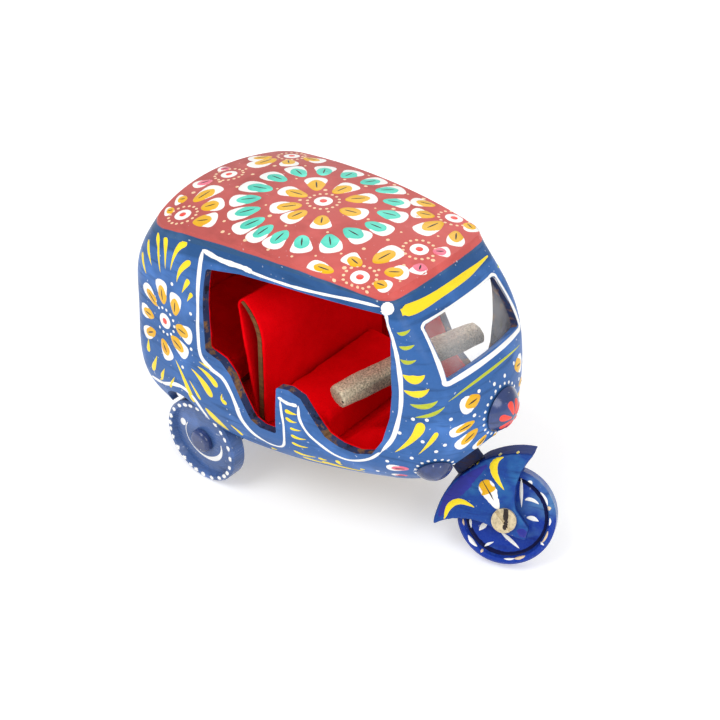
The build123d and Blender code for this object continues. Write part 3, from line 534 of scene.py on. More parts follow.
def brush(coat, rows, shape, target, colour, coats, seed, span=(0.0, 1.0), fat=1.0):
    """Lays brush marks on a surface.

    A mark follows the parabola through its three points, from span[0] to span[1] of its length.
    Across it, at t from -1 to 1, its half width is the shape's and its height swells as
    1 - |t|^2.4, faded in and out along s.
    """
    rows = np.asarray(rows, float)
    first, last = rows[:, 1:4], rows[:, -3:]
    mid = rows[:, 4:7] if rows.shape[1] == 10 else (first + last) / 2
    bend = 2 * mid - (first + last) / 2
    rng = np.random.default_rng(seed)
    u = (span[0] + (span[1] - span[0]) * ALONG)[None, :, None]
    centre = (1 - u) ** 2 * first[:, None] + 2 * u * (1 - u) * bend[:, None] + u**2 * last[:, None]
    heading = 2 * (1 - u) * (bend - first)[:, None] + 2 * u * (last - bend)[:, None]
    centre, out = lay_on(row_frame(centre), target)
    side = unit(np.cross(out, heading))
    wander = 1 + 0.05 * np.sin(9 * ALONG[None] + 6.3 * rng.random((len(rows), 1)))
    half = rows[:, :1] * MM / 2 * fat * shape(ALONG)[None] * wander
    grid = centre[:, :, None] + side[:, :, None] * half[:, :, None, None] * ACROSS[None, None, :, None]
    base, out = lay_on(grid, target)
    swell = (1 - np.abs(ACROSS) ** 2.4)[None, None, :] * (1 - (2 * ALONG - 1) ** 12)[None, :, None]
    coat.add(base, out, swell, coats, grid_faces(len(rows), len(ALONG), len(ACROSS)), colour)


def smooth_path(points, per, closed=False):
    """A Catmull-Rom line through the points, with per steps between each two."""
    points = np.asarray(points, float)
    if closed:
        p = np.concatenate([points[-1:], points, points[:2]])
    else:
        p = np.concatenate([2 * points[:1] - points[1:2], points, 2 * points[-1:] - points[-2:-1]])
    u = np.arange(per)[None, :, None] / per
    a, b, c, d = p[:-3, None], p[1:-2, None], p[2:-1, None], p[3:, None]
    line = 0.5 * (2 * b + (c - a) * u + (2 * a - 5 * b + 4 * c - d) * u**2 + (3 * b - a - 3 * c + d) * u**3)
    line = line.reshape(-1, 3)
    return line if closed else np.concatenate([line, points[-1:]])


def ribbon(coat, points, width, target, colour, coats, shape=line_shape):
    """Lays a drawn line on a surface: a smooth path through points, given width across, swelled as
    a brush mark is. A ring's path is closed."""
    closed = shape is ring_shape
    centre, out = lay_on(row_frame(smooth_path(points, 10, closed)), target)
    heading = np.roll(centre, -1, 0) - np.roll(centre, 1, 0) if closed else np.gradient(centre, axis=0)
    side = unit(np.cross(out, heading))
    half = width * MM / 2 * shape(np.linspace(0, 1, len(centre)))
    base, out = lay_on(centre[:, None] + side[:, None] * (half[:, None] * ACROSS[None])[..., None], target)
    swell = (1 - np.abs(ACROSS) ** 2.6)[None]
    coat.add(base, out, swell, coats, grid_faces(1, len(centre), len(ACROSS), closed), colour)


def tangents(out):
    """Two directions across each outward direction."""
    away = np.where(np.abs(out[:, 2:]) > 0.7, [[1.0, 0, 0]], [[0, 0, 1.0]])
    one = unit(np.cross(away, out))
    return one, np.cross(out, one)


def dots(coat, centres, radii, target, colour, coats, size=5):
    """Lays round drops of paint: a square grid (u, v) carried to a disc by
    x = u sqrt(1 - v^2 / 2), y = v sqrt(1 - u^2 / 2), raised as 1 - r^3."""
    centre, out = lay_on(centres, target)
    one, two = tangents(out)
    u, v = np.meshgrid(np.linspace(-1, 1, size), np.linspace(-1, 1, size), indexing="ij")
    x, y = u * np.sqrt(1 - v**2 / 2), v * np.sqrt(1 - u**2 / 2)
    reach = np.broadcast_to(np.asarray(radii, float), (len(centre),))[:, None, None, None]
    disc = x[None, ..., None] * one[:, None, None] + y[None, ..., None] * two[:, None, None]
    base, out = lay_on(centre[:, None, None] + reach * disc, target)
    swell = (1 - (x**2 + y**2) ** 1.5)[None]
    coat.add(base, out, swell, coats, grid_faces(len(centre), size, size), colour)


def around(centres, radius, count, target, phase=0.0):
    """Points on a ring round each centre, in the surface there."""
    centre, out = lay_on(centres, target)
    one, two = tangents(out)
    turn = np.linspace(0, 2 * np.pi, count, endpoint=False) + phase
    ring = np.cos(turn)[None, :, None] * one[:, None] + np.sin(turn)[None, :, None] * two[:, None]
    return (centre[:, None] + ring * radius).reshape(-1, 3)


def fill(tree, node, inputs):
    """Links or sets some inputs of a node."""
    for key, value in inputs.items():
        if isinstance(value, bpy.types.NodeSocket):
            tree.links.new(value, node.inputs[key])
        else:
            node.inputs[key].default_value = value
    return node


def add(tree, kind, inputs, **settings):
    """A new shader node, with its settings and inputs."""
    node = tree.nodes.new("ShaderNode" + kind)
    for key, value in settings.items():
        setattr(node, key, value)
    return fill(tree, node, inputs)


def noise(tree, vector, scale, detail, rough=0.55, stretch=None):
    """A noise over the given coordinates, stretched first where asked."""
    if stretch:
        vector = add(tree, "Mapping", {"Vector": vector, "Scale": stretch}).outputs["Vector"]
    inputs = {"Vector": vector, "Scale": scale, "Detail": detail, "Roughness": rough}
    return add(tree, "TexNoise", inputs).outputs["Fac"]


def ramp(tree, value, low, high, to_low=0.0, to_high=1.0):
    """A value carried from one range to another, held at the ends."""
    inputs = {"Value": value, "From Min": low, "From Max": high, "To Min": to_low, "To Max": to_high}
    return add(tree, "MapRange", inputs).outputs["Result"]


def blend(tree, factor, one, two):
    """Two colours mixed by a factor."""
    return add(tree, "Mix", {0: factor, 6: one, 7: two}, data_type="RGBA").outputs[2]


def sums(tree, mode, one, two=0.0):
    """Two values joined by one sum."""
    return add(tree, "Math", {0: one, 1: two}, operation=mode).outputs[0]


def parted(tree, vector):
    """The three numbers of a vector."""
    return add(tree, "SeparateXYZ", {0: vector}).outputs


def bump(tree, shader, height, strength, distance):
    """Relief from a height."""
    relief = add(tree, "Bump", {"Height": height, "Strength": strength, "Distance": distance})
    fill(tree, shader, {"Normal": relief.outputs["Normal"]})


def node_group(name, takes, gives):
    """An empty shader group that takes a Vector and some values and gives the named sockets."""
    tree = bpy.data.node_groups.new(name, "ShaderNodeTree")
    tree.interface.new_socket("Vector", in_out="INPUT", socket_type="NodeSocketVector")
    for label, value in takes.items():
        kind = "NodeSocketColor" if isinstance(value, tuple) else "NodeSocketFloat"
        tree.interface.new_socket(label, in_out="INPUT", socket_type=kind).default_value = value
    for label in gives:
        kind = "NodeSocketColor" if label == "Colour" else "NodeSocketFloat"
        tree.interface.new_socket(label, in_out="OUTPUT", socket_type=kind)
    return tree, tree.nodes.new("NodeGroupInput").outputs, tree.nodes.new("NodeGroupOutput")


def brushed_enamel():
    """Hand-brushed enamel: cloudy thin and thick coats, long brush streaks, fine grain and specks."""
    grey = (0.5, 0.5, 0.5, 1)
    takes = {"Colour": grey, "Thin": grey, "Thick": grey, "Specks": 0.3, "Sheen": 0.3}
    tree, take, give = node_group("brushed_enamel", takes, ("Colour", "Roughness", "Height"))
    cloud = noise(tree, take["Vector"], 70, 3, 0.6)
    streak = noise(tree, take["Vector"], 60, 3, 0.6, (1, 1, 9))
    grain = noise(tree, take["Vector"], 1500, 2, 0.6)
    speck = noise(tree, take["Vector"], 900, 1, 0.4)
    colour = blend(tree, ramp(tree, cloud, 0.5, 0.72), take["Colour"], take["Thin"])
    colour = blend(tree, ramp(tree, streak, 0.55, 0.75, 0, 0.75), colour, take["Thick"])
    colour = blend(tree, ramp(tree, grain, 0.3, 0.7, 0, 0.12), colour, take["Thin"])
    bright = sums(tree, "MULTIPLY", ramp(tree, speck, 0.74, 0.78), take["Specks"])
    colour = blend(tree, bright, colour, (0.8, 0.85, 0.9, 1))
    rough = sums(tree, "ADD", take["Sheen"], ramp(tree, streak, 0.35, 0.7, -0.05, 0.12))
    height = sums(tree, "ADD", ramp(tree, streak, 0.2, 0.8, 0, 0.7), ramp(tree, grain, 0.2, 0.8, 0, 0.3))
    fill(tree, give, {"Colour": colour, "Roughness": rough, "Height": height})
    return tree


def cut_wood():
    """Cut wood: long grain lines, pores and uneven tone."""
    tree, take, give = node_group("cut_wood", {"Colour": (0.3, 0.17, 0.09, 1)}, ("Colour", "Height"))
    grain = noise(tree, take["Vector"], 180, 4, 0.65, (0.25, 1, 6))
    pore = noise(tree, take["Vector"], 1400, 2, 0.6)
    dark = blend(tree, 0.72, take["Colour"], (0.05, 0.025, 0.012, 1))
    colour = blend(tree, ramp(tree, grain, 0.4, 0.68), take["Colour"], dark)
    colour = blend(tree, ramp(tree, pore, 0.55, 0.75, 0, 0.5), colour, dark)
    fill(tree, give, {"Colour": colour, "Height": sums(tree, "ADD", grain, pore)})
    return tree


def below_roof():
    """Depth of a place below the roof's top surface, which is an arch along the toy and across it:
    top less x^2 / (2 long radius) less y^2 / (2 cross radius) less the place's own height. Lean adds
    some depth for each metre behind the roof's apex."""
    tree, take, give = node_group("below_roof", {"Lean": 0.0}, ("Depth", "Along"))
    place = parted(tree, take["Vector"])
    along = sums(tree, "SUBTRACT", place[0], AXLE[0] + ROOF_APEX)
    depth = SOLID_BOX[1].z
    for value, radius in ((along, ROOF_LONG), (place[1], ROOF_CROSS)):
        square = sums(tree, "POWER", sums(tree, "ABSOLUTE", value), 2.0)
        depth = sums(tree, "SUBTRACT", depth, sums(tree, "DIVIDE", square, 2 * radius))
    depth = sums(tree, "SUBTRACT", depth, place[2])
    depth = sums(tree, "SUBTRACT", depth, sums(tree, "MULTIPLY", along, take["Lean"]))
    fill(tree, give, {"Depth": depth, "Along": along})
    return tree


def felt_nap():
    """Felt: matted short fibres, soft pale and dark patches where the nap lies over."""
    tree, take, give = node_group("felt_nap", {"Colour": (0.6, 0.01, 0.01, 1)}, ("Colour", "Height"))
    fibre = noise(tree, take["Vector"], 2600, 4, 0.75, (1, 1.6, 0.8))
    patch = noise(tree, take["Vector"], 120, 3, 0.6)
    dark = blend(tree, 0.32, take["Colour"], (0.16, 0.0, 0.001, 1))
    light = blend(tree, 0.4, take["Colour"], (0.85, 0.004, 0.01, 1))
    colour = blend(tree, ramp(tree, fibre, 0.3, 0.75), dark, take["Colour"])
    colour = blend(tree, ramp(tree, patch, 0.45, 0.8), colour, light)
    fill(tree, give, {"Colour": colour, "Height": fibre})
    return tree


def new_material(name):
    """A material with only a Principled shader, its tree, and the coordinates to use in it."""
    material = bpy.data.materials.new(name)
    material.use_nodes = True
    tree = material.node_tree
    tree.nodes.clear()
    shader = add(tree, "BsdfPrincipled", {})
    add(tree, "OutputMaterial", {"Surface": shader.outputs["BSDF"]})
    return material, tree, shader, add(tree, "TexCoord", {}).outputs


def placed(tree, where, group, **values):
    """What a group of that function's name gives on Object coordinates, with its own values."""
    shared = bpy.data.node_groups.get(group.__name__) or group()
    return add(tree, "Group", {"Vector": where["Object"], **values}, node_tree=shared).outputs


def tone(colour, factor=1.0, lift=0.0):
    """A colour made lighter or darker, with an opaque alpha."""
    return tuple(min(1.0, c * factor + lift) for c in colour) + (1.0,)


def door_edge(tree, where, hue, low, ahead):
    """Where the cut door faces of the sides and their inner faces are, and their colour: dark paint rubbed to
    the wood, darkened further as painted shade.
    """
    facing, place = parted(tree, where["Normal"]), parted(tree, where["Object"])
    cut = sums(tree, "LESS_THAN", sums(tree, "ABSOLUTE", facing[1]), 0.04)
    for within in (
        sums(tree, "GREATER_THAN", place[2], low),
        sums(tree, "LESS_THAN", place[0], ahead),
        sums(tree, "GREATER_THAN", sums(tree, "ABSOLUTE", place[1]), 0.018),
    ):
        cut = sums(tree, "MULTIPLY", cut, within)
    inward = sums(tree, "LESS_THAN", sums(tree, "MULTIPLY", facing[1], place[1]), -0.004)
    rubbed = noise(tree, where["Object"], 210, 4, 0.65)
    bare = placed(tree, where, cut_wood, Colour=tone(paint().wood, 0.85))["Colour"]
    # Cut and inner faces go near black: partly the dark paint of the edges, partly painted shade.
    painted = blend(tree, 0.72, hue, (0.02, 0.008, 0.012, 1))
    edging = blend(tree, ramp(tree, rubbed, 0.52, 0.6), painted, bare)
    edging = blend(tree, ramp(tree, rubbed, 0.42, 0.36), edging, (0.012, 0.014, 0.025, 1))
    return sums(tree, "MAXIMUM", cut, inward), edging


def upper_paint(tree, where, sheen, back, front, ends, lean):
    """Where the paint near the roof's top has ended, with a waver, and that paint, blended from its back
    colour to its front colour along the roof.
    """
    below = placed(tree, where, below_roof, Lean=lean)
    waver = ramp(tree, noise(tree, where["Object"], 130, 2), 0, 1, -0.0003, 0.0003)
    tops = [
        placed(
            tree, where, brushed_enamel,
            Colour=tone(top), Thin=tone(top, 1.22, 0.01), Thick=tone(top, 0.72), Specks=0.25, Sheen=sheen,
        )["Colour"]
        for top in (back, front)
    ]
    back_to_front_blend = blend(tree, ramp(tree, below["Along"], -0.07, 0.035), *tops)
    return ramp(tree, sums(tree, "ADD", below["Depth"], waver), *ends), back_to_front_blend


def enamel(
    name, colour, thin=1.35, thick=0.6, lift=0.0, specks=0.0, sheen=0.3, coat=0.15, relief=0.25, shine=0.25,
    edge=None, under=None, crown=None,
):
    """Brushed enamel paint.

    edge gives the cut door faces of the sides: those whose normal has no sideways part, above a
    height and behind a place, and the walls' inner faces, in dark paint rubbed to the wood and
    darkened further as painted shade. under gives a second paint down to some depth below the
    roof's top. crown darkens faces that look away from the wheel's axle.
    """
    if name in bpy.data.materials:
        return bpy.data.materials[name]
    material, tree, shader, where = new_material(name)
    light = thin + (1.0,) if isinstance(thin, tuple) else tone(colour, thin, lift)
    deep = thick + (1.0,) if isinstance(thick, tuple) else tone(colour, thick)
    coats = placed(
        tree, where, brushed_enamel, Colour=tone(colour), Thin=light, Thick=deep, Specks=specks, Sheen=sheen
    )
    hue, rough = coats["Colour"], coats["Roughness"]
    if edge:
        cut, edging = door_edge(tree, where, hue, *edge)
        hue = blend(tree, cut, hue, edging)
        rough = sums(tree, "ADD", rough, sums(tree, "MULTIPLY", cut, 0.35))
    if under:
        ended, upper = upper_paint(tree, where, sheen, *under)
        hue = blend(tree, ended, upper, hue)
    if crown:
        facing = add(tree, "VectorMath", {0: where["Normal"], 1: SPIN.tolist()}, operation="DOT_PRODUCT")
        rounded = ramp(tree, sums(tree, "ABSOLUTE", facing.outputs["Value"]), 0.75, 0.35)
        hue = blend(tree, rounded, hue, tone(crown))
        rough = sums(tree, "ADD", rough, sums(tree, "MULTIPLY", rounded, 0.4))
    fill(tree, shader, {"Base Color": hue, "Roughness": rough, "Specular IOR Level": shine})
    fill(tree, shader, {"Coat Weight": coat, "Coat Roughness": 0.18})
    bump(tree, shader, coats["Height"], relief, 0.00025)
    return material


def wooden(name, colour):
    """Bare or stained cut wood."""
    material, tree, shader, where = new_material(name)
    bare = placed(tree, where, cut_wood, Colour=tone(colour))
    fill(tree, shader, {"Base Color": bare["Colour"], "Roughness": 0.7, "Specular IOR Level": 0.12})
    bump(tree, shader, bare["Height"], 0.35, 0.0003)
    return material


def felted(name, colour):
    """Napped felt with a soft sheen."""
    material, tree, shader, where = new_material(name)
    nap = placed(tree, where, felt_nap, Colour=tone(colour))
    fill(tree, shader, {"Base Color": nap["Colour"], "Roughness": 0.95, "Specular IOR Level": 0.0})
    bump(tree, shader, nap["Height"], 0.6, 0.0003)
    return material


def gilded(name, colour):
    """Rough wood under metallic flake paint: bright and dull flakes, and knocks to the wood."""
    material, tree, shader, where = new_material(name)
    flake = noise(tree, where["Object"], 1700, 3, 0.7)
    patch = noise(tree, where["Object"], 160, 4, 0.65, (1, 0.4, 1))
    hue = blend(tree, ramp(tree, flake, 0.35, 0.7), tone(colour, 0.45), tone(colour, 1.45, 0.05))
    hue = blend(tree, ramp(tree, patch, 0.5, 0.75, 0, 0.6), hue, tone(colour, 0.4))
    rough, metal = ramp(tree, flake, 0.3, 0.7, 0.62, 0.34), ramp(tree, patch, 0.4, 0.7, 0.55, 0.1)
    fill(tree, shader, {"Base Color": hue, "Roughness": rough, "Metallic": metal})
    bump(tree, shader, sums(tree, "ADD", patch, flake), 0.6, 0.0005)
    return material


def screen_film(name):
    """Thin clear sheet, a little hazy and scuffed."""
    material, tree, shader, where = new_material(name)
    haze = noise(tree, where["Object"], 90, 4, 0.6)
    clear = ramp(tree, haze, 0.3, 0.75, 0.07, 0.2)
    fill(tree, shader, {"Base Color": (0.93, 0.94, 0.95, 1), "Roughness": 0.12, "Alpha": clear})
    bump(tree, shader, haze, 0.05, 0.0002)
    return material


def brass(name):
    """Pale worn metal of the screw head, grimy in patches and pitted."""
    material, tree, shader, where = new_material(name)
    wear = noise(tree, where["Object"], 500, 4, 0.7)
    hue = blend(tree, ramp(tree, wear, 0.45, 0.72), (0.72, 0.6, 0.38, 1), (0.3, 0.24, 0.15, 1))
    rough = ramp(tree, wear, 0.3, 0.7, 0.35, 0.6)
    fill(tree, shader, {"Base Color": hue, "Roughness": rough, "Metallic": 0.35})
    bump(tree, shader, wear, 0.3, 0.0002)
    return material


def mark_paints():
    """The paints of the drawn marks, in the order of their numbers."""
    p = paint()
    marks = (
        ("white_daub", p.white, 1.06, 0.86),
        ("amber_daub", p.amber, 1.12, (0.72, 0.24, 0.015)),
        ("teal_daub", p.teal, 1.3, (0.02, 0.36, 0.3), 0.06),
        ("pink_daub", p.pink, 1.25, 0.8, 0.06),
        ("ink_daub", (0.022, 0.014, 0.012), 1.6, 0.6),
        ("coral_daub", p.coral, 1.15, 0.85),
        ("cream_daub", p.cream, 1.15, 0.85),
        ("yellow_daub", p.yellow, 1.1, 0.82),
        ("leaf_daub", p.leaf, 1.5, 0.7),
        # Deep blue used as painted shade on the fork's cheeks.
        ("deep_daub", (0.018, 0.022, 0.24), 1.8, 0.5),
    )
    return tuple(enamel(*mark, sheen=0.32, coat=0.25, relief=0.3) for mark in marks)


def flower_petals(coat, rows, target, colour, seed, fat=1.0):
    """Petals in three coats: a white daub, a coloured daub over its inner part, a dark stroke."""
    brush(coat, rows, petal_shape, target, WHITE, 1.0, seed, fat=fat)
    brush(coat, rows, inner_shape, target, colour, 1.7, seed + 1, (0.0, 0.8), 0.78 * fat)
    stroke = np.array(rows, float)
    stroke[:, 0] = PETAL_STROKE
    brush(coat, stroke, leaf_shape, target, INK, 2.2, seed + 2, (0.14, 0.66))


def flower_hearts(coat, rows, target, ring, ring_paint):
    """Flower hearts: a white disc, a coral drop on it, and a ring of small dots."""
    rows = np.array(rows, float)
    centres, radii = row_frame(rows[:, 1:]), rows[:, 0] * MM
    dots(coat, centres, radii, target, WHITE, 1.0, 9)
    dots(coat, centres, radii * 0.46, target, CORAL, 2.2, 7)
    for centre, radius in zip(centres, radii):
        beads = around(centre[None], radius * 1.52, ring, target, radius * 900)
        dots(coat, beads, 0.0006, target, ring_paint, 1.0)


class TOY_OT_panels(bpy.types.Operator):
    """Paints the wooden panels, boards, lamps, wheels and metal of the toy"""

    bl_idname = "toy.panels"
    bl_label = "Paint Solids"

    def execute(self, context):
        p = paint()
        low, high = corners("side_right")
        blue = dict(thin=1.5, thick=0.45, lift=0.012, specks=0.5, sheen=0.34, coat=0.06, shine=0.12)
        deep = dict(specks=0.2, sheen=0.24, coat=0.04, relief=0.5, shine=0.1)
        band = {"under": (BAND_BLUE, BAND_BLUE, BAND_END, 0.0), **blue}
        edge = (low[2] + 9 * MM, high[0] + 6 * MM)
        red = (p.red_back, p.red, RED_END, 0.014)
        fork = ((0.016, 0.055, 0.28), (0.04, 0.2, 0.42), (0.004, 0.006, 0.11))
        front = ((0.01, 0.035, 0.3), (0.08, 0.2, 0.42), (0.003, 0.007, 0.1))
        lamp = ((0.022, 0.04, 0.13), 2.2, 0.5, 0.01, 0.3, 0.12, 0.6)
        wheel = ((0.05, 0.105, 0.27), 1.6, 0.5, 0.01, 0.3, 0.25, 0.2)
        finishes = (
            (enamel("blue_sides", p.blue, edge=edge, **band), ("front_panel", "side_right", "side_left")),
            (enamel("blue_rear", p.blue, **band), ("rear_panel",)),
            (enamel("roof_red", (0.028, 0.082, 0.19), under=red, **blue), ("roof",)),
            (enamel("blue_enamel", p.blue, **blue), ("chin_board", "axle_beam")),
            (enamel("fork_blue", *fork, crown=(0.006, 0.032, 0.2), **deep), ("fork",)),
            (enamel("front_blue", *front, **deep), ("front_wheel",)),
            (enamel("lamp_blue", *lamp), ("headlamp", "lamp_right", "lamp_left", "cap_right", "cap_left")),
            (enamel("wheel_blue", *wheel), ("rear_wheel_right", "rear_wheel_left")),
            (wooden("floor_wood", (0.16, 0.1, 0.06)), ("floor_board",)),
            (wooden("sawn_wood", p.wood), ("seat_box",)),
            (wooden("brown_board", (0.2, 0.085, 0.03)), ("backrest_board",)),
            (wooden("dark_wood", (0.016, 0.034, 0.11)), ("fork_spacer",)),
            (gilded("gilt_bar", p.gilt), ("handlebar", "steering_post")),
            (brass("worn_brass"), ("axle_rod", "front_axle", "fork_pin")),
            (screen_film("clear_film"), ("windscreen",)),
        )
        for material, nodes in finishes:
            for node in nodes:
                NODES[node].data.materials.clear()
                NODES[node].data.materials.append(material)
        return {"FINISHED"}


class TOY_OT_roof_flowers(bpy.types.Operator):
    """Paints the flowers and dots of the roof"""

    bl_idname = "toy.roof_flowers"
    bl_label = "Roof Flowers"

    def execute(self, context):
        top = skin("roof_skin", ("roof",))
        petals = Coat()
        for rows, colour, seed in ((ROOF_AMBER, AMBER, 11), (ROOF_TEAL, TEAL, 21), (ROOF_PINK, PINK, 31)):
            flower_petals(petals, rows, top, colour, seed, ROOF_FAT)
        petals.piece("roof_petals", "body")
        drops = Coat()
        flower_hearts(drops, ROOF_HEARTS, top, 16, CREAM)
        spots = row_frame(np.clip(ROOF_DOTS, (-30, -26.4, 0), (90, 26.4, 99)))
        dots(drops, spots, 0.00062 + 0.00018 * np.sin(np.arange(len(spots)) * 2.4), top, CREAM, 1.2)
        drops.piece("roof_dots", "body")
        return {"FINISHED"}


class TOY_OT_body_flowers(bpy.types.Operator):
    """Paints the flowers, strokes, lines and dots of the sides, nose and back"""

    bl_idname = "toy.body_flowers"
    bl_label = "Body Flowers"

    def execute(self, context):
        body = skin("body_skin", PANELS)
        for name, marks in (
            ("body_petals", self.petals),
            ("body_strokes", self.strokes),
            ("body_lines", self.lines),
            ("body_dots", self.drops),
        ):
            coat = Coat()
            marks(coat, body)
            coat.piece(name, "body")
        return {"FINISHED"}

    def petals(self, coat, body):
        """Petals of the sides and the nose, and a ring of them on the back."""
        turn = np.linspace(0, 2 * np.pi, 8, endpoint=False) + 0.2
        foot = (BACK_AT, BACK_FOOT * np.cos(turn), BACK_FOOT * np.sin(turn) + BACK_UP)
        tip = (BACK_AT, BACK_TIP * np.cos(turn), BACK_TIP * np.sin(turn) + BACK_UP)
        back = mark_rows(5.4, foot, tip)
        nose = np.concatenate([NOSE_SIDE, mirrored(NOSE_SIDE), NOSE_MIDDLE])
        for rows, seed in ((SIDE_AMBER, 41), (mirrored(SIDE_AMBER), 51), (nose, 61), (back, 71)):
            flower_petals(coat, rows, body, AMBER, seed, BODY_FAT)
        flower_petals(coat, SIDE_PINK, body, PINK, 81)
        flower_petals(coat, mirrored(SIDE_PINK), body, PINK, 91)

    def strokes(self, coat, body):
        """Comma and leaf strokes of the sides, and fans of strokes round the flower on the back."""
        fan, row = np.linspace(-1.2, 1.2, 9), np.linspace(-1, 1, 7)
        spread = (9 * fan * 1.6, 8 * fan, 5.6 * fan)
        below = mark_rows(2.0, *zip((-33.6, -34, -34), spread, (37.5, 40.5, 43.5)))
        above = mark_rows(2.0, *zip((-29.5, -31.4, -33), spread, (80.5, 76, 71.5)))
        heights = [BACK_UP + reach * row for reach in (14, 10, 6.5)]
        aside = mark_rows(1.9, *zip((-33, -34, BACK_AT), (26.5, 21.5, 16.5), heights))
        for rows in (SIDE_YELLOW, mirrored(SIDE_YELLOW), below, above, aside, mirrored(aside)):
            brush(coat, rows, comma_shape, body, YELLOW, 1.4, 5)
        for rows in ([BIG_STROKE], mirrored([BIG_STROKE])):
            brush(coat, rows, leaf_shape, body, YELLOW, 1.4, 4)
        for side in (np.array, mirrored):
            brush(coat, side(PILLAR_YELLOW), leaf_shape, body, YELLOW, 1.3, 6)
            brush(coat, side(PILLAR_LEAF), leaf_shape, body, LEAF, 1.2, 7)
        ribbon(coat, BROW_LINE, 3.4, body, YELLOW, 1.4, brow_shape)
        ribbon(coat, NOSE_LINE, 1.1, body, LEAF, 1.0, leaf_shape)

    def lines(self, coat, body):
        """White lines round the doors, windscreen and back, and blobs at the roof's front corners."""
        for width, points in DOOR_LINES:
            for side in (1, -1):
                ribbon(coat, np.array(points) * [1, side, 1], width * 0.84, body, WHITE, 1.2)
        ribbon(coat, self.screen_rim(), 1.8, body, WHITE, 1.2, ring_shape)
        ribbon(coat, BACK_LINE, 1.5, body, WHITE, 1.2)
        blobs = row_frame([(67.4, -22.9, 90), (67.4, 22.9, 90), (67, -23.6, 88), (67, 23.6, 88)])
        dots(coat, blobs, (0.0021, 0.0021, 0.0017, 0.0017), body, WHITE, 1.6, 7)

    def drops(self, coat, body):
        """Flower hearts, dots of the sides, and rings of dots round the lamps."""
        hearts = (SIDE_HEART, (3, BACK_AT, 0, BACK_UP), *mirrored([SIDE_HEART]))
        flower_hearts(coat, hearts, body, 14, WHITE)
        spots = np.array(SIDE_DOTS)
        dots(coat, row_frame(np.concatenate([spots, spots * [1, -1, 1]])), 0.00068, body, WHITE, 1.4)
        for node, gap, count in (("headlamp", 1.1, 22), ("lamp_right", 1.2, 17), ("lamp_left", 1.2, 17)):
            lo, hi = corners(node)
            beads = around(((lo + hi) / 2)[None], (hi[2] - lo[2]) / 2 + gap * MM, count, body, 0.2)
            dots(coat, beads, 0.00056, body, WHITE, 1.4)

    def screen_rim(self):
        """The windscreen's own outline, with two points close to each corner to keep it sharp."""
        co = axle_frame(solid_arrays(("windscreen",))[0])
        ways = np.array([(0, -0.55, 1), (0, 0.55, 1), (0, 0.55, -1), (0, -0.55, -1)], float)
        corner = co[(co @ ways.T).argmax(0)]
        out = unit(np.cross(corner[1] - corner[0], corner[0] - corner[3]))
        out = out * np.sign(out[0])
        ahead = np.roll(corner, -1, 0)
        parts = np.array([0.035, 0.1, 0.3, 0.5, 0.7, 0.9, 0.965])[None, :, None]
        rim = (corner[:, None] * (1 - parts) + ahead[:, None] * parts).reshape(-1, 3)
        return rim + (4 + 3 * np.clip(1 - (rim[:, 1:2] / 19) ** 2, 0, 1)) * out


class TOY_OT_lamp_flowers(bpy.types.Operator):
    """Paints red petals on the headlamp"""

    bl_idname = "toy.lamp_flowers"
    bl_label = "Lamp Flowers"

    def execute(self, context):
        lamp = skin("lamp_skin", ("headlamp",))
        lo, hi = corners("headlamp")
        x, y, z = axle_frame(np.array([hi[0], *(lo + hi)[1:] / 2]))
        turn = np.radians((100, 160, 215, 265, 320, 20, 60))
        foot = (x, y + np.cos(turn), z - 1 + np.sin(turn))
        tip = (x - 1.6, y + 5.4 * np.cos(turn), z - 1 + 5.4 * np.sin(turn))
        coat = Coat()
        brush(coat, mark_rows(2.6, foot, tip), petal_shape, lamp, CORAL, 1.2, 3)
        coat.piece("lamp_petals", "body")
        return {"FINISHED"}


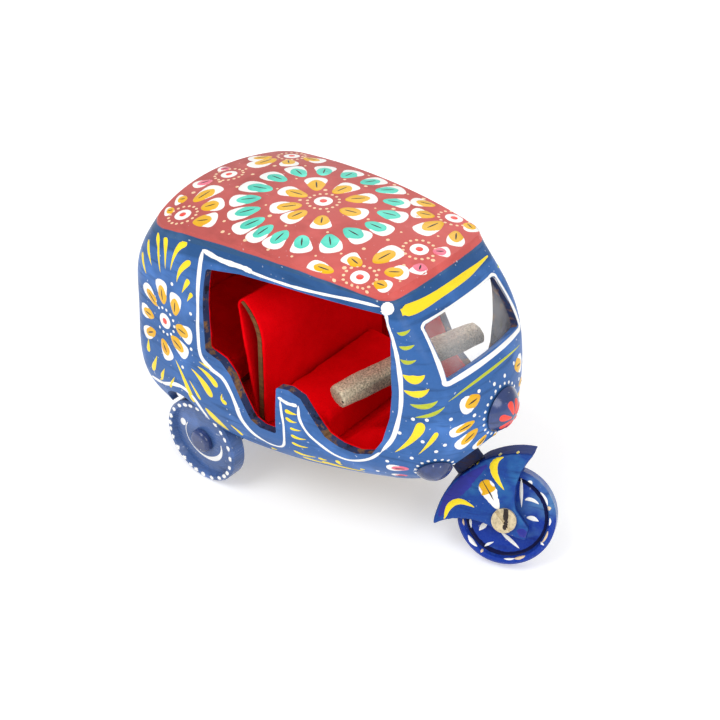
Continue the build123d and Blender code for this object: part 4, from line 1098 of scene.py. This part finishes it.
class TOY_OT_wheel_marks(bpy.types.Operator):
    """Paints the marks of the wheels and the fork"""

    bl_idname = "toy.wheel_marks"
    bl_label = "Wheel Marks"

    def execute(self, context):
        for side, name in enumerate(("right", "left")):
            self.rear_marks(side, name)
        self.front_marks()
        self.fork_marks()
        screw = Coat()
        # The slot is a dark line of painted shade on the screw head.
        slot = on_fork([SCREW_SLOT_SHADE], SCREW_HEAD)
        brush(screw, slot, line_shape, skin("screw_skin", ("front_axle",)), INK, 2.2, 17)
        screw.piece("screw_slot", "fork")
        return {"FINISHED"}

    def rear_marks(self, side, name):
        """White dots round a rear wheel's rim, and a swept line and a blob on its outer face."""
        node = "rear_wheel_" + name
        target = skin(node + "_skin", (node,))
        box = corners(node)
        face, radius = box[side][1], (box[1][2] - box[0][2]) / 2 - 1.35 * MM
        turn = np.linspace(0, 2 * np.pi, 25, endpoint=False)
        wave = turn + 0.05 * np.sin(turn * 5)
        hub = np.array([AXLE[0], face, AXLE[2]])
        rim = hub + radius * np.stack([np.cos(wave), 0 * wave, np.sin(wave)], -1)
        coat = Coat()
        dots(coat, rim, 0.00104 + 0.0001 * np.sin(turn * 7), target, WHITE, 1.4)
        sweep = np.radians(np.linspace(150, 372, 14))
        arc = np.stack([8.2 * np.cos(sweep), 0 * sweep + face / MM, 7.2 * np.sin(sweep) + AXLE[2] / MM], -1)
        ribbon(coat, arc, 2.5, target, WHITE, 1.0, comma_line)
        blob = hub + np.array([[-9.2, 0, 2.8]]) * MM
        dots(coat, blob, 0.0017, target, WHITE, 1.4, 7)
        coat.piece("rear_marks_" + name, node)

    def front_marks(self):
        """Dashes on both faces of the front wheel, a ring of painted shade in the corner of each sunk face,
        and a chipped rim.
        """
        wheel = skin("front_wheel_skin", ("front_wheel",))
        corner = np.radians(np.arange(0, 360, 30))
        chips, count = np.radians(RIM_CHIPS), np.arange(len(RIM_CHIPS))
        span = np.radians(6 + 4.5 * np.cos(count * 2.3))
        # Short dark arcs where the sunk face meets the rim: painted shade in that corner.
        recess_shade_arcs = arcs(1.5 + 0.4 * np.sin(corner * 2 + 1), corner, (-0.3, 0, 0.3), 12.1)
        chipped = arcs(2.0 + 0.8 * np.sin(count * 1.9), chips, (-span, 0, span), 13.2)
        coat = Coat()
        for face in (1, -1):
            brush(coat, on_fork(WHEEL_DASHES, SUNK_FACE * face), leaf_shape, wheel, WHITE, 1.2, 8)
        for face in (1, -1):
            brush(coat, on_fork(recess_shade_arcs, SUNK_FACE * face), line_shape, wheel, RECESS_SHADE, 0.6, 19)
            marks = on_fork(chipped, RIM_FACE * face)
            brush(coat, marks[::2], leaf_shape, wheel, WHITE, 0.8, 9)
            brush(coat, marks[1::2], leaf_shape, wheel, CHIP, 0.6, 10)
        chip = enamel("chipped_wood", (0.72, 0.54, 0.34), 1.15, 0.7, sheen=0.6, coat=0.0)
        recess_shade_paint = enamel("gathered_blue", (0.004, 0.006, 0.05), 1.6, 0.6, shine=0.1, coat=0.0)
        coat.piece("front_wheel_marks", "front_wheel", (chip, recess_shade_paint))

    def fork_marks(self):
        """A petal, crescents and dark strokes of painted shade on both cheeks of the fork, and dabs on its
        top edge.
        """
        fork = bpy.data.objects["fork_carved"]
        coat = Coat()
        for face in (CHEEK, -CHEEK):
            petal = on_fork([FORK_PETAL], face)
            brush(coat, petal, petal_shape, fork, WHITE, 1.3, 12)
            brush(coat, petal, cap_shape, fork, AMBER, 1.9, 13, (0.56, 1.0), 0.95)
            petal[:, 0] = 0.7
            brush(coat, petal, leaf_shape, fork, INK, 2.4, 14, (0.3, 1.04))
            brush(coat, on_fork(FORK_CRESCENTS, face), leaf_shape, fork, YELLOW, 1.6, 15)
            brush(coat, on_fork(FORK_PAINTED_SHADE, face), leaf_shape, fork, PAINTED_SHADE, 0.7, 18)
        dabs = np.concatenate([on_fork(FORK_DABS, 6.4), on_fork(FORK_DABS, 3.0)[:, 1:]], 1)
        brush(coat, dabs, leaf_shape, fork, YELLOW, 1.3, 16)
        coat.piece("fork_marks", "fork")


class TOY_OT_felt(bpy.types.Operator):
    """Makes the felt linings, seats and loose floor cloth, the carved fork and the whittled handlebar"""

    bl_idname = "toy.felt"
    bl_label = "Felt"

    def execute(self, context):
        gilt, blue = (NODES[node].data.materials for node in ("handlebar", "fork"))
        self.nail_holes(self.softened("handlebar", 0.0011, "stick", "body", "gold_paint", gilt))
        self.softened("fork", 0.0003, "stick", "fork", "wheel_paint", blue).name = "fork_carved"
        cloth = felted("felted_red", paint().felt)
        for node, kind, depth in (
            ("lining_right", "lining", 0.0006),
            ("lining_left", "lining", 0.0006),
            ("lining_rear", "lining", 0.0006),
            ("lining_roof", "lining", 0.0005),
            ("passenger_seat", "pad", 0.0016),
            ("driver_seat", "pad", 0.0016),
            ("backrest_cover", "lining", 0.0009),
            ("floor_mat", "lining", 0.0008),
        ):
            obj = self.softened(node, depth, kind, "body", "red_felt", (cloth,))
        self.loose_cloth(cloth)
        return {"FINISHED"}

    def softened(self, node, depth, kind, body, slot, materials):
        """The look of a solid with its edges rounded over: its form rebuilt in small even cells,
        smoothed, and pushed in and out by broad clouds (slack, or the knife) and fine ones (nap)."""
        obj = mesh_object(node.replace("lining", "felt") + "_cloth", *merged(*solid_arrays((node,))))
        cells = obj.modifiers.new("cells", "REMESH")
        cells.mode = "VOXEL"
        cells.voxel_size = paint().nap if kind == "lining" else paint().nap * 1.3
        obj.modifiers.new("ease", "SMOOTH").iterations = {"lining": 3, "pad": 8, "stick": 10}[kind]
        for name, size, strength in (("slack", 0.013, depth), ("nap", 0.0011, 0.00012)):
            clouds = bpy.data.textures.new(node + "_" + name, "CLOUDS")
            clouds.noise_scale = size
            clouds.noise_depth = 2
            push = obj.modifiers.new(name, "DISPLACE")
            push.texture = clouds
            push.texture_coords = "LOCAL"
            push.strength = strength
            push.mid_level = 0.62
        mesh = bpy.data.meshes.new_from_object(obj.evaluated_get(bpy.context.evaluated_depsgraph_get()))
        obj.modifiers.clear()
        obj.data = mesh
        smoothed(mesh)
        for material in materials:
            mesh.materials.append(material)
        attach(obj, body)
        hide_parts(node)
        return obj

    def nail_holes(self, bar):
        """A dark dot of painted shade for a nail hole near each end of the handlebar."""
        co = solid_arrays(("handlebar",))[0]
        y = co[:, 1]
        ends = np.stack([co[y < y.min() + MM].mean(0), co[y > y.max() - MM].mean(0)])
        ends[:, 1] += (-2 * MM, 2 * MM)
        hole = Coat()
        dots(hole, ends, 0.0006, bar, INK, NAIL_SHADE_COATS, 7)
        hole.piece("nail_holes", "body")

    def loose_cloth(self, cloth):
        """A scrap of felt bunched on the front floor.

        Height over the mat is a few crossed sines, higher towards the right door, that fade out at
        the scrap's edges; a Solidify gives it thickness.
        """
        rows, columns = 56, 76
        x, y = np.meshgrid(np.linspace(48, 69, rows), np.linspace(-21, 15, columns), indexing="ij")
        u, v = (x - 48) / 21, (y + 21) / 36
        edge = np.minimum(np.minimum(u, 1 - u), np.minimum(v, 1 - v) * 1.6)
        fade = np.clip(edge / 0.22, 0, 1)
        fade = fade * fade * (3 - 2 * fade)
        wave = 1.1 * np.sin(5.2 * u + 4.1 * v) + 0.8 * np.sin(9.3 * v - 3.0 * u + 0.8)
        wave = np.clip(wave + 0.4 * np.sin(17 * u + 11 * v), -1.2, 3)
        mound = 7.0 * np.exp(-(((x - 61) / 6) ** 2 + ((y + 15) / 6.5) ** 2))
        side = np.clip((23.6 - (x - 48) * 0.27 - np.abs(y)) / 3, 0, 1)
        z = corners("floor_mat")[1][2] / MM + 0.5 + fade * (1.3 + wave + mound) * side
        grid = row_frame(np.stack([x, y, z], -1))
        obj = mesh_object("floor_scrap", grid.reshape(-1, 3), grid_faces(1, rows, columns))
        obj.data.materials.append(cloth)
        thick = obj.modifiers.new("thickness", "SOLIDIFY")
        thick.thickness = 0.0005
        thick.offset = 0
        smoothed(obj.data)
        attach(obj, "body")


class TOY_OT_stage(bpy.types.Operator):
    """Sets the pale floor, the soft lights and the camera"""

    bl_idname = "toy.stage"
    bl_label = "Studio"

    def execute(self, context):
        scene = context.scene
        scene.view_settings.view_transform = "Standard"
        ground = np.array([[-3, -3, 0], [3, -3, 0], [3, 3, 0], [-3, 3, 0]], float)
        floor = mesh_object("floor_sheet", ground, np.array([[0, 1, 2, 3]]))
        material, tree, shader, _ = new_material("pale_floor")
        fill(tree, shader, {"Base Color": (0.8, 0.82, 0.85, 1), "Roughness": 0.9})
        fill(tree, shader, {"Specular IOR Level": 0.1})
        fill(tree, shader, {"Emission Color": (1.0, 0.94, 0.85, 1), "Emission Strength": 0.34})
        floor.data.materials.append(material)
        world = scene.world = bpy.data.worlds.new("white_room")
        world.use_nodes = True
        sky = world.node_tree.nodes["Background"]
        fill(world.node_tree, sky, {"Color": (1, 1, 1, 1), "Strength": 0.62})
        for name, at, size, watts in (
            ("key", (-0.25, -0.75, 1.15), 0.8, 7.6),
            ("front_fill", (0.9, -0.35, 0.7), 0.7, 4.5),
            ("back_wash", (-0.6, 0.9, 1.0), 1.0, 3.6),
        ):
            lamp = bpy.data.lights.new(name, "AREA")
            lamp.shape = "DISK"
            lamp.size = size
            lamp.energy = watts
            x, y, z = np.array([0, 0, 0.045]) - at
            obj = linked(name, lamp)
            obj.location = at
            obj.rotation_euler = (math.acos(-z / math.hypot(x, y, z)), 0, math.atan2(y, x) - math.pi / 2)
        self.camera(scene)
        return {"FINISHED"}

    def camera(self, scene):
        """The photo's own view: away metres from a target, turned and raised."""
        camera = bpy.data.cameras.new("photo_camera")
        camera.lens = 67.5
        camera.sensor_width = 36
        camera.clip_start = 0.01
        turn, rise, away = math.radians(39.6), math.radians(36.1), 0.4262
        target = np.array([AXLE[0] + 0.0387, 0, 0.0463])
        back = np.array([math.cos(rise) * math.sin(turn), -math.cos(rise) * math.cos(turn), math.sin(rise)])
        obj = scene.camera = linked("photo_camera", camera)
        obj.location = target + away * back
        obj.rotation_euler = (math.pi / 2 - rise, 0, turn)


class TOY_PT_panel(bpy.types.Panel):
    """The toy's steps and paints"""

    bl_label = "Painted Toy"
    bl_idname = "TOY_PT_panel"
    bl_space_type = "VIEW_3D"
    bl_region_type = "UI"
    bl_category = "Toy"

    def draw(self, context):
        for step in STEPS:
            self.layout.operator(step.bl_idname)
        for name in ToyPaint.__annotations__:
            self.layout.prop(context.scene.toy_paint, name)


STEPS = (
    TOY_OT_stage,
    TOY_OT_panels,
    TOY_OT_roof_flowers,
    TOY_OT_body_flowers,
    TOY_OT_lamp_flowers,
    TOY_OT_felt,
    TOY_OT_wheel_marks,
)
CLASSES = (ToyPaint, *STEPS, TOY_PT_panel)


def register():
    for cls in CLASSES:
        bpy.utils.register_class(cls)
    bpy.types.Scene.toy_paint = bpy.props.PointerProperty(type=ToyPaint)


def unregister():
    del bpy.types.Scene.toy_paint
    for cls in reversed(CLASSES):
        bpy.utils.unregister_class(cls)


def main():
    """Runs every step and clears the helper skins."""
    register()
    for step in STEPS:
        space, name = step.bl_idname.split(".")
        getattr(getattr(bpy.ops, space), name)()
    for obj in [o for o in bpy.data.objects if o.name.endswith("_skin")]:
        bpy.data.objects.remove(obj)


if __name__ == "__main__":
    main()
